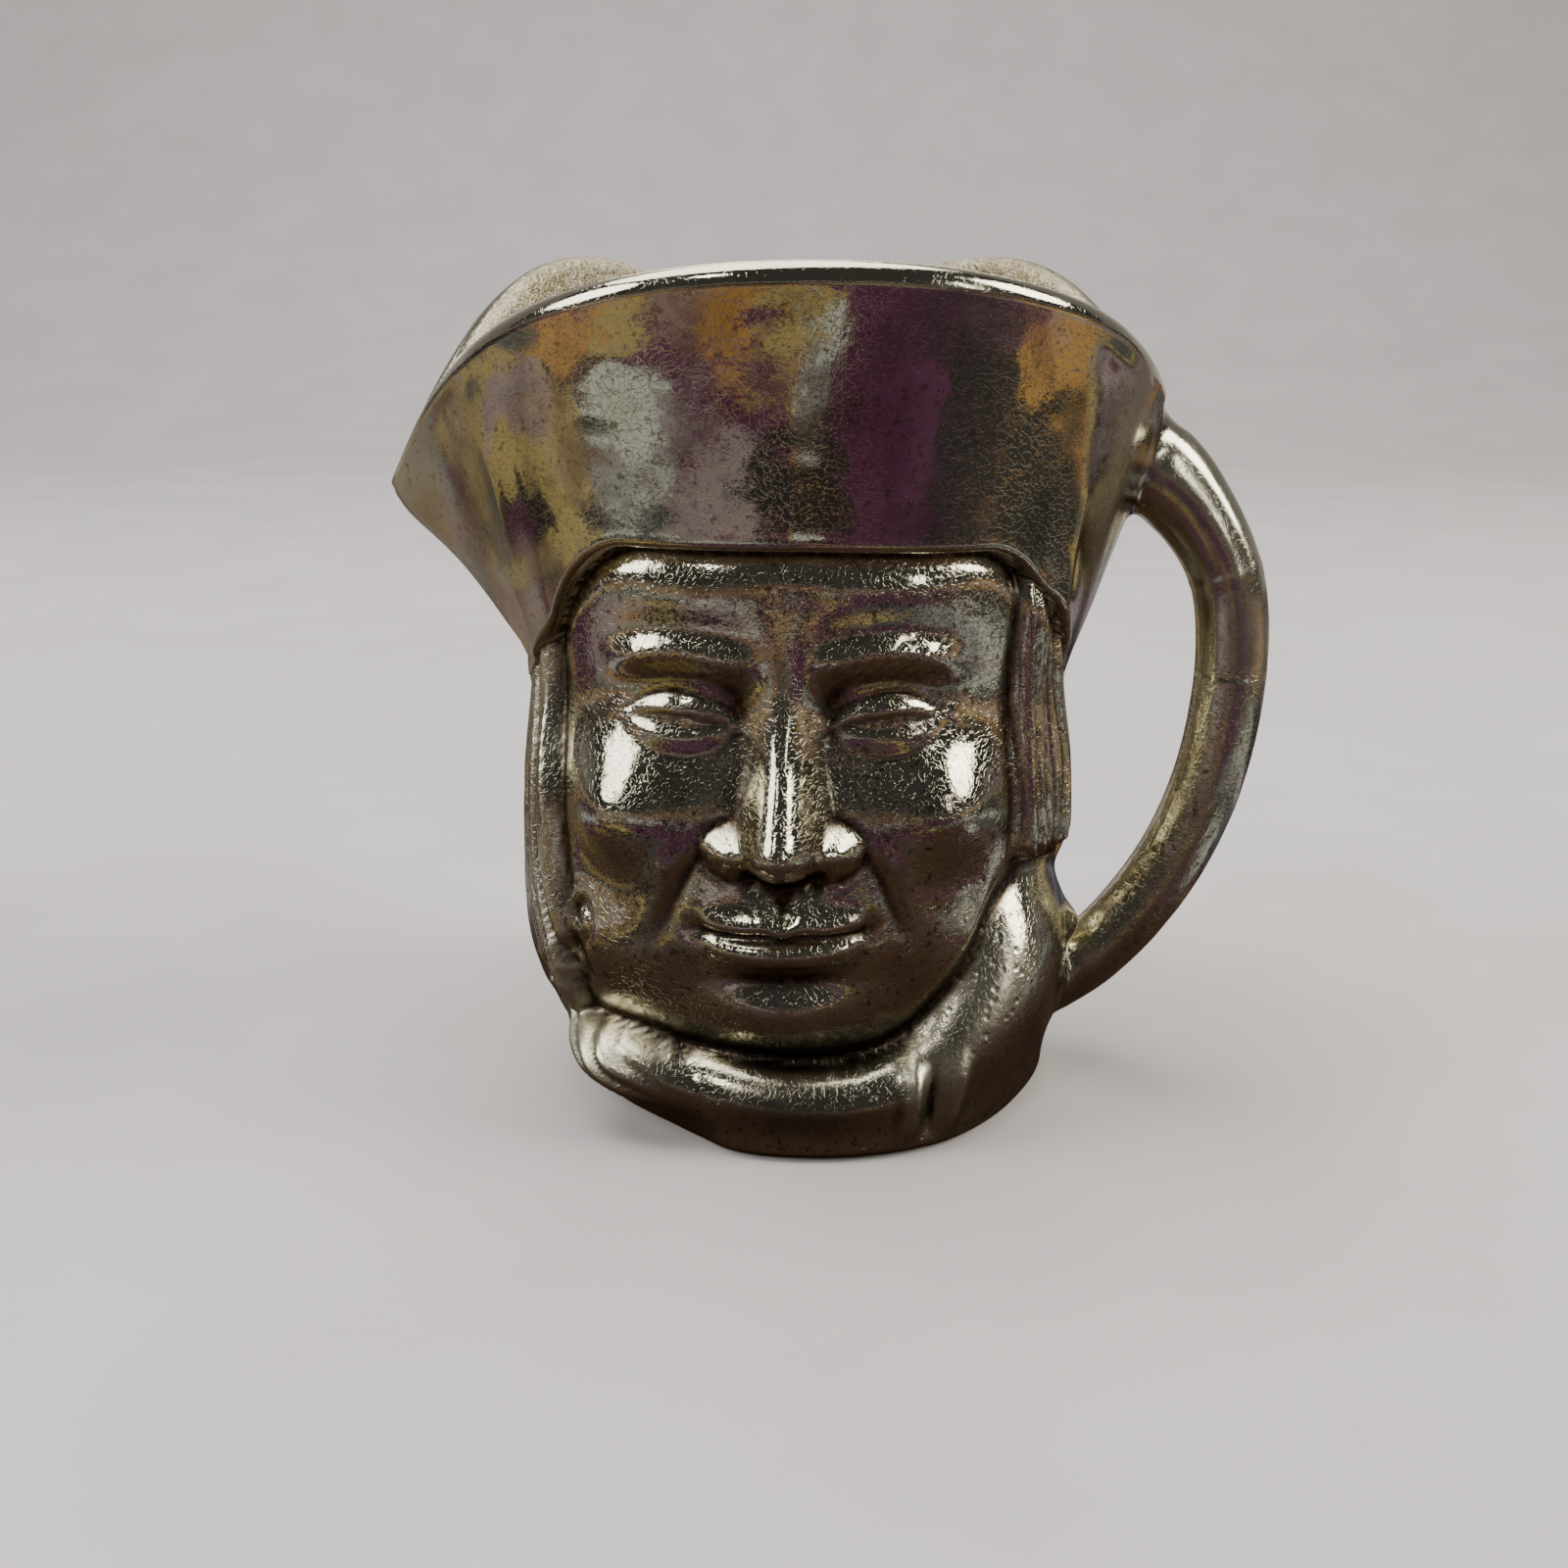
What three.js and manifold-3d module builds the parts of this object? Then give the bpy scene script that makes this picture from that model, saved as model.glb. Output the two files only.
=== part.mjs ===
// A small cast brass jug in the shape of a man's head in a three-cornered hat.
// The hat's turned-up brim is the mouth, its left corner is the pouring lip, and a round handle
// runs from its right corner down to the collar. Body and handle are one hollow casting.
// Millimetres, +Z up, origin at the middle of the underside. The hat's front faces -Y, and the
// handle stands at +X. Angles are in degrees from the front, growing towards +X.

import * as THREE from "three";
import { LoftGeometry } from "three/addons/geometries/LoftGeometry.js";
import { mergeVertices } from "three/addons/utils/BufferGeometryUtils.js";
import Module from "manifold-3d";

// Driving sizes
const HEIGHT = 60; // from the table to the top of the brim's front
const WALL = 2.2; // thickness of the cast wall
const FLOOR = 3; // thickness of the bottom
const FOOT_ROUND = 0.8; // rounding of the edge that stands on the table
const HANDLE_THICKNESS = 5.3;
const HANDLE_FLARE = 2.8; // how much thicker the handle is where it leaves the hat

// The carving keeps its proportions, so its sizes are in sixtieths of the height.
const UNIT = HEIGHT / 60;

// Head, as half sizes at heights
const FACE_TURN = -5.5; // the face looks a little to its right
const HEAD_SHIFT = -0.6 * UNIT; // and the head sits a little to that side
const SQUARENESS = 2.25; // of the outlines from above, where 2 is an ellipse
const headSide = curve([
  [0, 15.5], [6, 17], [11, 18.9], [18, 19.1], [25, 18.8], [32, 17.9], [38, 18.4], [45, 19.4],
]);
const headFront = curve([
  [0, 14], [6, 14.8], [10, 16.1], [16, 17], [23, 17.3], [31, 17.1], [36, 17.6], [45, 18.6],
]);
const FACE_HOLLOWS = 0.9 * UNIT; // how far the face's hollows go below the head's outline
const headBack = curve([
  [0, 14.5], [6, 15.4], [12, 17.2], [20, 18], [31, 17.4], [38, 17.8], [45, 18.8],
]);

// Hair
const HAIR_RISE = 1.2 * UNIT;
const HAIR_EDGE = 53; // the side of the face where the hair begins, on the right
const leftHairEdge = curve([[8, 50], [14, 50.6], [19, 53], [25, 54.5], [31, 59], [44, 60]]);
const LOCKS = 30; // round the whole head
const LOCK_RISE = 0.45 * UNIT;
const LEFT_HEM = 7; // the hair's lower edge, in units like the next two
const RIGHT_HEM = 18.8;
const BACK_HEM = 11;

// Hat
const BRIM_FOOT = 42.8 * UNIT; // the brim's lower edge over the forehead
const BRIM_OVERHANG = 1.5 * UNIT; // how far the brim stands out over the forehead
const KEEL_FOOT = 31 * UNIT; // where the brim's corners leave the head
const BRIM_ROLL = 0.5 * UNIT; // rounding of the brim's lower edge
const BRIM_TILT = 0.7 * UNIT; // how much lower the brim's foot is on the right than in front
const RIM_RADIUS = 21.7 * UNIT;
const CORNER_HEIGHT = 50.8 * UNIT; // of the brim's edge at its corners
const BACK_HEIGHT = 60.7 * UNIT; // of the brim's edge behind, between the corners
const ARCH_SHAPE = 2.2; // 2 bends the brim's edge in a parabola between two corners
// Each corner stands out over the round of the brim and spreads over an angle on both sides.
const CORNERS = [
  { angle: -173, reach: 5.5 * UNIT, before: 16, after: 16 },
  { angle: -90, reach: 5.5 * UNIT, before: 21, after: 20 },
  { angle: 90, reach: 4 * UNIT, before: 23, after: 12 },
];
const SPOUT = { angle: -90, reach: 2.9 * UNIT, dip: 5 * UNIT };

// Handle's middle line, out from the axis and up
const HANDLE_LINE = [
  [21, 47.7], [25.8, 45.3], [28.8, 42], [30.9, 38], [31.7, 33], [31.4, 26.5], [30, 20.3],
  [27.1, 14.1], [22.7, 8.6], [17.3, 4.7],
];

// Fineness of the mesh. The stops go round the jug, each with the columns up to the next one.
const FACE_EDGE = 61;
const COLUMN_STOPS = [
  [FACE_TURN - FACE_EDGE, 30], [18, 10], [37, 6], [FACE_TURN + FACE_EDGE, 9], [90, 8], [135, 5],
  [168, 4], [187, 3], [205, 3], [225, 8], [270, 6], [360 + FACE_TURN - FACE_EDGE, 0],
];
const BODY_ROWS = 29;
const rowHeight = spline([[0, 0.8], [5, 8.4], [8, 12.8], [17, 24], [20, 28.8], [26, 37], [29, 42.8]]);
const BRIM_ROWS = 6;
const ROOM_ROWS = 4;
const HANDLE_SIDES = 12;
const HANDLE_STEPS = 20;

// A smooth line through [position, value] pairs, as a function.
function spline(keys) {
  const at = (i) => keys[Math.min(Math.max(i, 0), keys.length - 1)];
  const slope = (i) => (at(i + 1)[1] - at(i - 1)[1]) / (at(i + 1)[0] - at(i - 1)[0]);
  return (position) => {
    const x = Math.min(Math.max(position, at(0)[0]), at(keys.length)[0]);
    let i = 0;
    while (i < keys.length - 2 && keys[i + 1][0] < x) i += 1;
    const span = keys[i + 1][0] - keys[i][0];
    const t = (x - keys[i][0]) / span;
    const bow = t * (1 - t) * ((1 - t) * slope(i) - t * slope(i + 1)) * span;
    return THREE.MathUtils.lerp(keys[i][1], keys[i + 1][1], t * t * (3 - 2 * t)) + bow;
  };
}

// The same for lengths in the carving's units.
function curve(keys) {
  const line = spline(keys);
  return (length) => line(length / UNIT) * UNIT;
}

// The same round the jug, from an angle to a length.
function around(keys) {
  const line = spline(keys);
  return (angle) => line(turnBetween(angle, 0)) * UNIT;
}

const { smoothstep, lerp, degToRad } = THREE.MathUtils;
const hill = (distance, width) => Math.exp(-((distance / width) ** 2));
const dome = (...shares) => Math.sqrt(Math.max(0, 1 - shares.reduce((sum, s) => sum + s * s, 0)));
const turnBetween = (a, b) => THREE.MathUtils.euclideanModulo(a - b + 180, 360) - 180;

// The larger of two lengths, with the crease between them softened.
function softMax(a, b, softness) {
  const h = Math.max(softness - Math.abs(a - b), 0) / softness;
  return Math.max(a, b) + (h * h * softness) / 4;
}

// A rounded outline seen from above, as a radius.
function oval(angle, side, front, back) {
  const a = degToRad(angle);
  const depth = Math.cos(a) > 0 ? front : back;
  const x = Math.abs(Math.sin(a)) / side;
  const y = Math.abs(Math.cos(a)) / depth;
  return (x ** SQUARENESS + y ** SQUARENESS) ** (-1 / SQUARENESS);
}

// Nose, as heights over the head and half widths at heights
const noseRise = spline([
  [18.5, 0], [20.2, 0.3], [21.4, 3], [23, 4.8], [25, 4.6], [29, 2.9], [32.5, 1.7], [36, 0.8], [39, 0],
]);
const noseWidth = spline([[18, 2.6], [22, 2.6], [25, 2.1], [30, 1.7], [36, 2.4], [39, 3]]);

// The face as a height over the head. t is the distance from its middle line and z the height,
// and all lengths are in carving units.
function faceRise(t, z) {
  const eyeT = t - 6.8;
  const eyeZ = z - 31.2;
  const browLine = 34.2 + 1.1 * hill(t - 6.2, 4);
  const brow = 0.8 * hill(z - browLine, 1.5) * smoothstep(t, 0.5, 4) * (1 - smoothstep(t, 9, 13));
  const socket = -1.6 * hill(Math.hypot(eyeT / 4.6, eyeZ / 3), 1);
  const ball = 1.5 * dome(eyeT / 3.9, eyeZ / 2.6);
  const opening = 1 - (eyeT / 3.3) ** 2;
  const upperLid = 0.5 * smoothstep(eyeZ, opening - 0.1, opening + 0.4);
  const lowerLid = 0.4 * smoothstep(-eyeZ, 0.8 * opening - 0.1, 0.8 * opening + 0.4);
  const lids = (upperLid + lowerLid) * dome(eyeT / 4.2, eyeZ / 2.8);
  const ridge = noseRise(z) * hill(t, noseWidth(z));
  const wing = 2 * dome((t - 3) / 1.8, (z - 22.5) / 1.8);
  const nostril = -0.8 * hill(Math.hypot(t - 1.9, z - 20.8), 0.7);
  const cheek = 1.5 * hill(Math.hypot(t - 10.2, z - 24.5), 4.8);
  const muzzle = 1.2 * hill(Math.hypot(t / 6.4, (z - 16.8) / 4.4), 1);
  const philtrum = -0.3 * hill(t, 0.8) * hill(z - 19.2, 1.3);
  const mouthZ = z - 16.6 - 0.01 * t * t;
  const upperLip = 0.75 * dome(t / 5.3) * hill(mouthZ - 0.9, 0.75);
  const lowerLip = 0.95 * dome(t / 4.8) * hill(mouthZ + 1.1, 0.95);
  const slit = -0.9 * dome(t / 5.6) * hill(mouthZ, 0.42);
  const underLip = -0.5 * hill(Math.hypot(t / 4.5, (z - 13.4) / 1.2), 1);
  const chin = 1.7 * hill(Math.hypot(t / 4.8, (z - 10.4) / 2.8), 1);
  return brow + socket + ball + lids + softMax(ridge, wing, 0.8) + nostril + cheek
    + muzzle + philtrum + upperLip + lowerLip + slit + underLip + chin;
}

// The hair's lower edge round the jug, high over the collar's roll on the right.
const hemHeight = around([
  [-180, BACK_HEM], [-90, LEFT_HEM], [-20, LEFT_HEM], [20, RIGHT_HEM], [75, RIGHT_HEM],
  [115, BACK_HEM], [180, BACK_HEM],
]);

// How far into the hair a place is, from 0 on the face to 1.
function hairShare(angle, z) {
  const turn = turnBetween(angle, FACE_TURN);
  const edge = turn < 0 ? leftHairEdge(z) / UNIT : HAIR_EDGE;
  const hem = hemHeight(angle);
  return smoothstep(Math.abs(turn), edge - 1, edge + 4) * smoothstep(z, hem - UNIT, hem + UNIT);
}

// Rounded locks that hang down and bend a little on their way.
function lockRise(angle, z) {
  const curl = hill(z / UNIT - LEFT_HEM, 5);
  const sway = 2 * Math.sin(z / (5 * UNIT)) + 7 * Math.sign(angle) * curl;
  const place = ((angle + sway) / 360) * LOCKS;
  return LOCK_RISE * (2 * Math.abs(Math.sin(Math.PI * place)) ** 0.7 - 1);
}

// Collar: a band under the chin that becomes a thick roll round the right side and the back,
// over a foot that is a little flat on the left.
const footRadius = around([
  [-180, 18.6], [-110, 18.2], [-80, 17.4], [-54, 16.7], [-38, 16.7], [-27, 17.4], [-17, 18.5],
  [0, 18.8], [30, 19.1], [45, 18.7], [60, 18.4], [90, 18.6], [180, 18.6],
]);
const collarTop = around([
  [-180, 15], [-120, 12], [-80, 9], [-40, 8], [0, 6.4], [22, 7.6], [36, 12.8], [48, 17.4],
  [62, 18.6], [90, 18.4], [130, 16.5], [180, 15],
]);
const collarReach = around([
  [-180, 19.8], [-120, 19.4], [-80, 18.8], [-40, 18.9], [0, 18.9], [28, 19.1], [60, 20],
  [90, 20], [130, 19.9], [180, 19.8],
]);

function collarRadius(angle, z) {
  const top = collarTop(angle);
  const middle = 0.55 * top;
  const reach = collarReach(angle);
  if (z < middle) return lerp(footRadius(angle), reach, smoothstep(z, 0, middle));
  return reach - 4 * UNIT * (1 - dome((z - middle) / (top - middle)));
}

// The left end of the collar, a folded lobe that stands out beside the chin. Its fat end is at
// the back, and it runs out forward into the band.
function lobeRise(angle, z) {
  const along = degToRad(turnBetween(angle, -46)) * footRadius(0);
  const up = z - 6.8 * UNIT;
  const long = (0.84 * along - 0.54 * up) / (7.4 * UNIT);
  const wide = (0.54 * along + 0.84 * up) / ((3.4 - long) * UNIT);
  return 2.9 * UNIT * (long < 0 ? dome(long, wide) : dome(wide) * (1 - smoothstep(long, 0, 1.1)));
}

// Two folds in the collar's front, right of the chin, with a groove between them.
function creaseRise(angle, z) {
  const low = smoothstep(z, UNIT, 3 * UNIT) * (1 - smoothstep(z, 5 * UNIT, 8 * UNIT));
  const folds = 0.5 * hill(angle - 22.5, 2.6) + 0.5 * hill(angle - 32.5, 3.2);
  return low * UNIT * (folds - 0.5 * hill(angle - 27, 2.4));
}

function headRadius(angle, z) {
  const outline = oval(angle, headSide(z), headFront(z), headBack(z));
  return outline + HEAD_SHIFT * Math.sin(degToRad(angle));
}

function bodyRadius(angle, z) {
  const turn = Math.abs(turnBetween(angle, FACE_TURN));
  const face = UNIT * faceRise(degToRad(turn) * 17, z / UNIT) * (1 - smoothstep(turn, 50, 62));
  const hair = hairShare(angle, z) * (HAIR_RISE + lockRise(angle, z));
  const collar = collarRadius(angle, z) + lobeRise(angle, z) + creaseRise(angle, z);
  return softMax(headRadius(angle, z) + face + hair, collar, 1.1 * UNIT);
}

// 1 at the tip of a corner, falling away on both sides over a width, with the tip rounded.
const peak = (turn, width, tip) => Math.exp(-(Math.hypot(turn, tip) - tip) / width);
const spout = (angle) => peak(turnBetween(angle, SPOUT.angle), 3.5, 1);

function cornerReach(angle) {
  return CORNERS.reduce((sum, corner) => {
    const turn = turnBetween(angle, corner.angle);
    return sum + corner.reach * peak(turn, turn < 0 ? corner.before : corner.after, 5);
  }, 0);
}

// How near a place is to a corner of the hat, from 0 to 1.
const nearCorner = (angle) =>
  Math.max(...CORNERS.map((c) => 1 - smoothstep(Math.abs(turnBetween(angle, c.angle)), 4, 56)));

function rimHeight(angle) {
  const last = CORNERS.length - 1;
  const turn = THREE.MathUtils.euclideanModulo(angle - CORNERS[0].angle, 360) + CORNERS[0].angle;
  const i = CORNERS.findLastIndex((corner) => corner.angle <= turn);
  const from = CORNERS[i].angle;
  const to = i < last ? CORNERS[i + 1].angle : CORNERS[0].angle + 360;
  const crown = Math.abs(turn) < 90 ? HEIGHT : BACK_HEIGHT;
  const arch = 1 - Math.abs((2 * turn - from - to) / (to - from)) ** ARCH_SHAPE;
  return lerp(CORNER_HEIGHT, crown, arch) - SPOUT.dip * spout(angle);
}

// The turned-up brim without its spout, from its foot at share 0 to its edge at share 1.
function brimPoint(angle, share) {
  const corner = nearCorner(angle);
  const tilt = BRIM_TILT * Math.max(0, Math.sin(degToRad(angle))) * (1 - corner);
  const foot = lerp(BRIM_FOOT, KEEL_FOOT, corner) - tilt;
  const hair = HAIR_RISE * smoothstep(Math.abs(turnBetween(angle, FACE_TURN)), 54, 64);
  const start = headRadius(angle, foot) + hair + BRIM_OVERHANG * (1 - 0.8 * corner ** 2);
  const edge = oval(angle, RIM_RADIUS, RIM_RADIUS, RIM_RADIUS) + cornerReach(angle);
  return [
    lerp(start, edge, share ** lerp(1.15, 0.85, corner)),
    lerp(foot + BRIM_ROLL, rimHeight(angle) - WALL / 2, share),
  ];
}
const spoutReach = (angle, share) => SPOUT.reach * spout(angle) * share ** 2;

// The wall measured outward from the axis, thicker where the surface stands aslant.
function slantWall(angle, share) {
  const step = 2;
  const here = brimPoint(angle, share)[0];
  const turned = (brimPoint(angle + step, share)[0] - brimPoint(angle - step, share)[0]) / 2;
  return WALL * Math.min(Math.hypot(1, turned / (here * degToRad(step))), 1.5);
}

// The room in the head follows the head's outside and is rounded towards the floor. It keeps
// clear of the hollows of the face and of the grooves between the locks.
const roomShare = spline([[0, 0.62], [1, 0.78], [3, 0.9], [7, 0.98], [12, 1], [60, 1]]);
function roomRadius(angle, z) {
  const hair = HAIR_RISE - LOCK_RISE;
  const front = headFront(z) - FACE_HOLLOWS;
  const inner = oval(angle, headSide(z) + hair, front, headBack(z) + hair) - WALL;
  return inner * roomShare((z - FLOOR) / UNIT) + HEAD_SHIFT * Math.sin(degToRad(angle));
}

// The outside of the cup at one angle, as [radius, height] from the foot over the rim's top.
function outsideProfile(angle) {
  const points = [];
  const foot = brimPoint(angle, 0)[1] - BRIM_ROLL;
  for (const drop of [1, 0.3, 0]) {
    points.push([bodyRadius(angle, FOOT_ROUND) - FOOT_ROUND * drop ** 1.5, FOOT_ROUND * (1 - drop)]);
  }
  for (let row = 1; row <= BODY_ROWS; row += 1) {
    const share = (rowHeight(row) - rowHeight(0)) / (rowHeight(BODY_ROWS) - rowHeight(0));
    const z = lerp(FOOT_ROUND, foot, share);
    points.push([bodyRadius(angle, z), z]);
  }
  for (let row = 0; row < BRIM_ROWS; row += 1) {
    const [radius, z] = brimPoint(angle, row / BRIM_ROWS);
    points.push([radius + spoutReach(angle, row / BRIM_ROWS), z]);
  }
  const [rim, lip] = brimPoint(angle, 1);
  const inner = rim - slantWall(angle, 1);
  const outer = rim + spoutReach(angle, 1);
  for (const turn of [0, 45, 90, 135]) {
    const round = degToRad(turn);
    const across = (1 - Math.cos(round)) / 2;
    points.push([lerp(outer, inner, across), lip + (WALL / 2) * Math.sin(round)]);
  }
  return points;
}

// The inside, from the rim down to the floor.
function insideProfile(angle) {
  const points = [];
  for (const share of [1, 0.66, 0.33]) {
    const [radius, z] = brimPoint(angle, share);
    points.push([radius - slantWall(angle, share), z]);
  }
  const foot = brimPoint(angle, 0)[1] - BRIM_ROLL;
  points.push([roomRadius(angle, foot) + 0.4 * WALL, foot + WALL / 2]);
  for (let row = 0; row <= ROOM_ROWS; row += 1) {
    const z = lerp(foot - WALL, FLOOR, (row / ROOM_ROWS) ** 0.6);
    points.push([roomRadius(angle, z), z]);
  }
  return points;
}

// Angles round the jug, closer together across the face and at the corners.
function columns() {
  const angles = [];
  COLUMN_STOPS.slice(0, -1).forEach(([from, count], i) => {
    const to = COLUMN_STOPS[i + 1][0];
    for (let step = 0; step < count; step += 1) angles.push(lerp(from, to, step / count));
  });
  return angles;
}

function polar(angle, [radius, z]) {
  const a = degToRad(angle);
  return new THREE.Vector3(radius * Math.sin(a), -radius * Math.cos(a), z);
}

// Rings of points at the same row of each angle's profile.
function rings(angles, profile) {
  const profiles = angles.map(profile);
  return profiles[0].map((_, row) => profiles.map((points, i) => polar(angles[i], points[row])));
}

function cupGeometry() {
  const skin = (angle) => [...outsideProfile(angle), ...insideProfile(angle), [0, FLOOR]];
  return new LoftGeometry(rings(columns(), skin), { capStart: true });
}

// The room inside the cup, grown by half the wall and run out above the rim. It trims the
// handle's ends off within the wall.
function roomGeometry() {
  const grown = (angle) => {
    const points = insideProfile(angle).reverse().map(([radius, z]) => [radius + WALL / 2, z]);
    return [...points, [points.at(-1)[0], HEIGHT + WALL]];
  };
  return new LoftGeometry(rings(columns(), grown), { capStart: true, capEnd: true });
}

function handleGeometry() {
  const line = new THREE.CatmullRomCurve3(
    HANDLE_LINE.map(([out, up]) => new THREE.Vector3(out * UNIT, 0, up * UNIT)),
  );
  const frames = line.computeFrenetFrames(HANDLE_STEPS);
  const sections = [];
  for (let step = 0; step <= HANDLE_STEPS; step += 1) {
    const share = step / HANDLE_STEPS;
    const flare = HANDLE_FLARE * hill(share, 0.14);
    const across = (HANDLE_THICKNESS + flare / 2) / 2;
    const upright = (HANDLE_THICKNESS + flare) / 2;
    const centre = line.getPointAt(share);
    const ring = [];
    for (let side = 0; side < HANDLE_SIDES; side += 1) {
      const turn = (side / HANDLE_SIDES) * 2 * Math.PI;
      ring.push(centre.clone()
        .addScaledVector(frames.normals[step], across * Math.cos(turn))
        .addScaledVector(frames.binormals[step], upright * Math.sin(turn)));
    }
    sections.push(ring);
  }
  return new LoftGeometry(sections, { capStart: true, capEnd: true });
}

const wasm = await Module();
wasm.setup();

function solid(geometry) {
  const bare = geometry.index ? geometry.toNonIndexed() : geometry;
  const plain = new THREE.BufferGeometry().setAttribute("position", bare.getAttribute("position"));
  const merged = mergeVertices(plain, 1e-4);
  const corners = merged.index.array;
  const kept = [];
  for (let i = 0; i < corners.length; i += 3) {
    const [a, b, c] = corners.slice(i, i + 3);
    if (a !== b && b !== c && c !== a) kept.push(a, b, c);
  }
  return new wasm.Manifold(new wasm.Mesh({
    numProp: 3,
    vertProperties: merged.attributes.position.array,
    triVerts: new Uint32Array(kept),
  }));
}

function meshGeometry(body) {
  const { vertProperties, triVerts } = body.getMesh();
  const geometry = new THREE.BufferGeometry();
  geometry.setAttribute("position", new THREE.BufferAttribute(vertProperties, 3));
  geometry.setIndex(new THREE.BufferAttribute(triVerts, 1));
  geometry.computeVertexNormals();
  return geometry;
}

const brass = new THREE.MeshStandardMaterial({ color: 0x9c8a5c, roughness: 0.25, metalness: 1 });
const handle = solid(handleGeometry()).subtract(solid(roomGeometry()));
const jug = new THREE.Mesh(meshGeometry(solid(cupGeometry()).add(handle)), brass);
jug.name = "jug";

const root = new THREE.Group();
root.add(jug);
export default root;
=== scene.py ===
"""A small cast brass jug in the shape of a head in a three-cornered hat, on a pale studio floor.

The jug's skin is worked out as rings of points, from the same sizes as its CAD solid, with the
finer carving added. The handle is swept along its line by Geometry Nodes, and is joined to the cup.
Lengths inside the carving are in millimetres, and angles are in degrees from the hat's front,
growing towards the handle.
"""

import math
from types import SimpleNamespace

import bmesh
import bpy
import numpy as np
from bpy.props import FloatProperty, FloatVectorProperty, IntProperty, PointerProperty
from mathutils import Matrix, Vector


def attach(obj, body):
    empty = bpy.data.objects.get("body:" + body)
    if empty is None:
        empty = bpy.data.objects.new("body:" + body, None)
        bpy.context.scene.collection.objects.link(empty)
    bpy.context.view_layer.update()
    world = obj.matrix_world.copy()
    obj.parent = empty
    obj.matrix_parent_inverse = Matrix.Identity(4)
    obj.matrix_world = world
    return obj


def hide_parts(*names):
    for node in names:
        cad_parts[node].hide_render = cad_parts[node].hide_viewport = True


bl_info = {
    "name": "Brass Toby Jug",
    "version": (1, 0, 0),
    "blender": (4, 5, 0),
    "location": "View3D > Sidebar > Toby Jug",
    "description": "Makes a cast brass toby jug with its round handle, and a plain studio round it",
    "category": "Add Mesh",
}

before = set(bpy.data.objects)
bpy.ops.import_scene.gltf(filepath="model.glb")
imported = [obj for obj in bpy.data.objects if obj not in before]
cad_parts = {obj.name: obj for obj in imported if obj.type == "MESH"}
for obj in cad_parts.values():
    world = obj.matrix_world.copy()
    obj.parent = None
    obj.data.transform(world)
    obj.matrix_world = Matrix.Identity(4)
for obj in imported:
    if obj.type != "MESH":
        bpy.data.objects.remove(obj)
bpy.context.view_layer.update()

MM = 0.001
PIECE = "jug"


# Sizes of the carving, in millimetres on a jug as high as DRAWN_HEIGHT. They match the CAD solid.

DRAWN_HEIGHT = 60
FACE_TURN = -5.5
HEAD_SHIFT = -0.6
SQUARENESS = 2.25
FACE_HOLLOWS = 0.9
HAIR_RISE = 1.2
HAIR_RADIUS = 18.5
RIGHT_HAIR_EDGE = 53
LOCK_RISE = 0.45
BRIM_FOOT = 42.8
BRIM_OVERHANG = 1.5
KEEL_FOOT = 31
BRIM_ROLL = 0.5
BRIM_TILT = 0.7
RIM_RADIUS = 21.7
CORNER_HEIGHT = 50.8
BACK_HEIGHT = 60.7
ARCH_SHAPE = 2.2
CORNERS = [(-173, 5.5, 16, 16), (-90, 5.5, 21, 20), (90, 4, 23, 12)]
SPOUT_ANGLE, SPOUT_REACH, SPOUT_DIP = -90, 2.9, 5
HANDLE_LINE = [
    (21, 47.7), (25.8, 45.3), (28.8, 42), (30.9, 38), (31.7, 33), (31.4, 26.5), (30, 20.3),
    (27.1, 14.1), (22.7, 8.6), (17.3, 4.7),
]
FACE_EDGE = 61
ROOM_TOP = 64

# Rings of the skin, from the foot up the outside and down the inside
BODY_ROWS = 150
UNDERSIDE_ROWS = 6
BRIM_ROWS = 44
RIM_ROWS = 8
INSIDE_ROWS = 30

# How far from the handle's joints the skin is smoothed, and the rounds of smoothing
JOINT_REACH = 2.2 * MM
JOINT_ROUNDS = 40
SWEPT_HAIR_ROUNDS = 7


def spline(keys):
    """A smooth line through (position, value) pairs, as a function."""
    at, value = np.array(keys, float).T
    last = len(at) - 1
    before = np.maximum(np.arange(last + 1) - 1, 0)
    after = np.minimum(np.arange(last + 1) + 1, last)
    slope = (value[after] - value[before]) / (at[after] - at[before])

    def line(position):
        x = np.clip(position, at[0], at[-1])
        i = np.clip(np.searchsorted(at, x) - 1, 0, last - 1)
        span = at[i + 1] - at[i]
        t = (x - at[i]) / span
        bow = t * (1 - t) * ((1 - t) * slope[i] - t * slope[i + 1]) * span
        return value[i] + (value[i + 1] - value[i]) * t * t * (3 - 2 * t) + bow

    return line


def around(keys):
    """A smooth line round the jug, as a function of an angle."""
    line = spline(keys)
    return lambda angle: line(turn_between(angle, 0))


def turn_between(a, b):
    return (a - b + 180) % 360 - 180


def smoothstep(x, low, high):
    t = np.clip((x - low) / (high - low), 0, 1)
    return t * t * (3 - 2 * t)


def hill(distance, width):
    return np.exp(-((distance / width) ** 2))


def dome(*shares):
    return np.sqrt(np.maximum(0, 1 - sum(share * share for share in shares)))


def lerp(a, b, t):
    return a + (b - a) * t


def soft_max(a, b, softness):
    """The larger of two lengths, with the crease between them softened."""
    h = np.maximum(softness - np.abs(a - b), 0) / softness
    return np.maximum(a, b) + h * h * softness / 4


def ridges(place, sharpness):
    """Rounded ridges side by side, one for each whole step of place, from -1 to 1."""
    return 2 * np.abs(np.sin(np.pi * place)) ** sharpness - 1


def scatter(index):
    """A fixed share from 0 to 1 for each whole number."""
    return (np.sin(index * 12.9898 + 4.1) * 43758.5453) % 1


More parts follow.
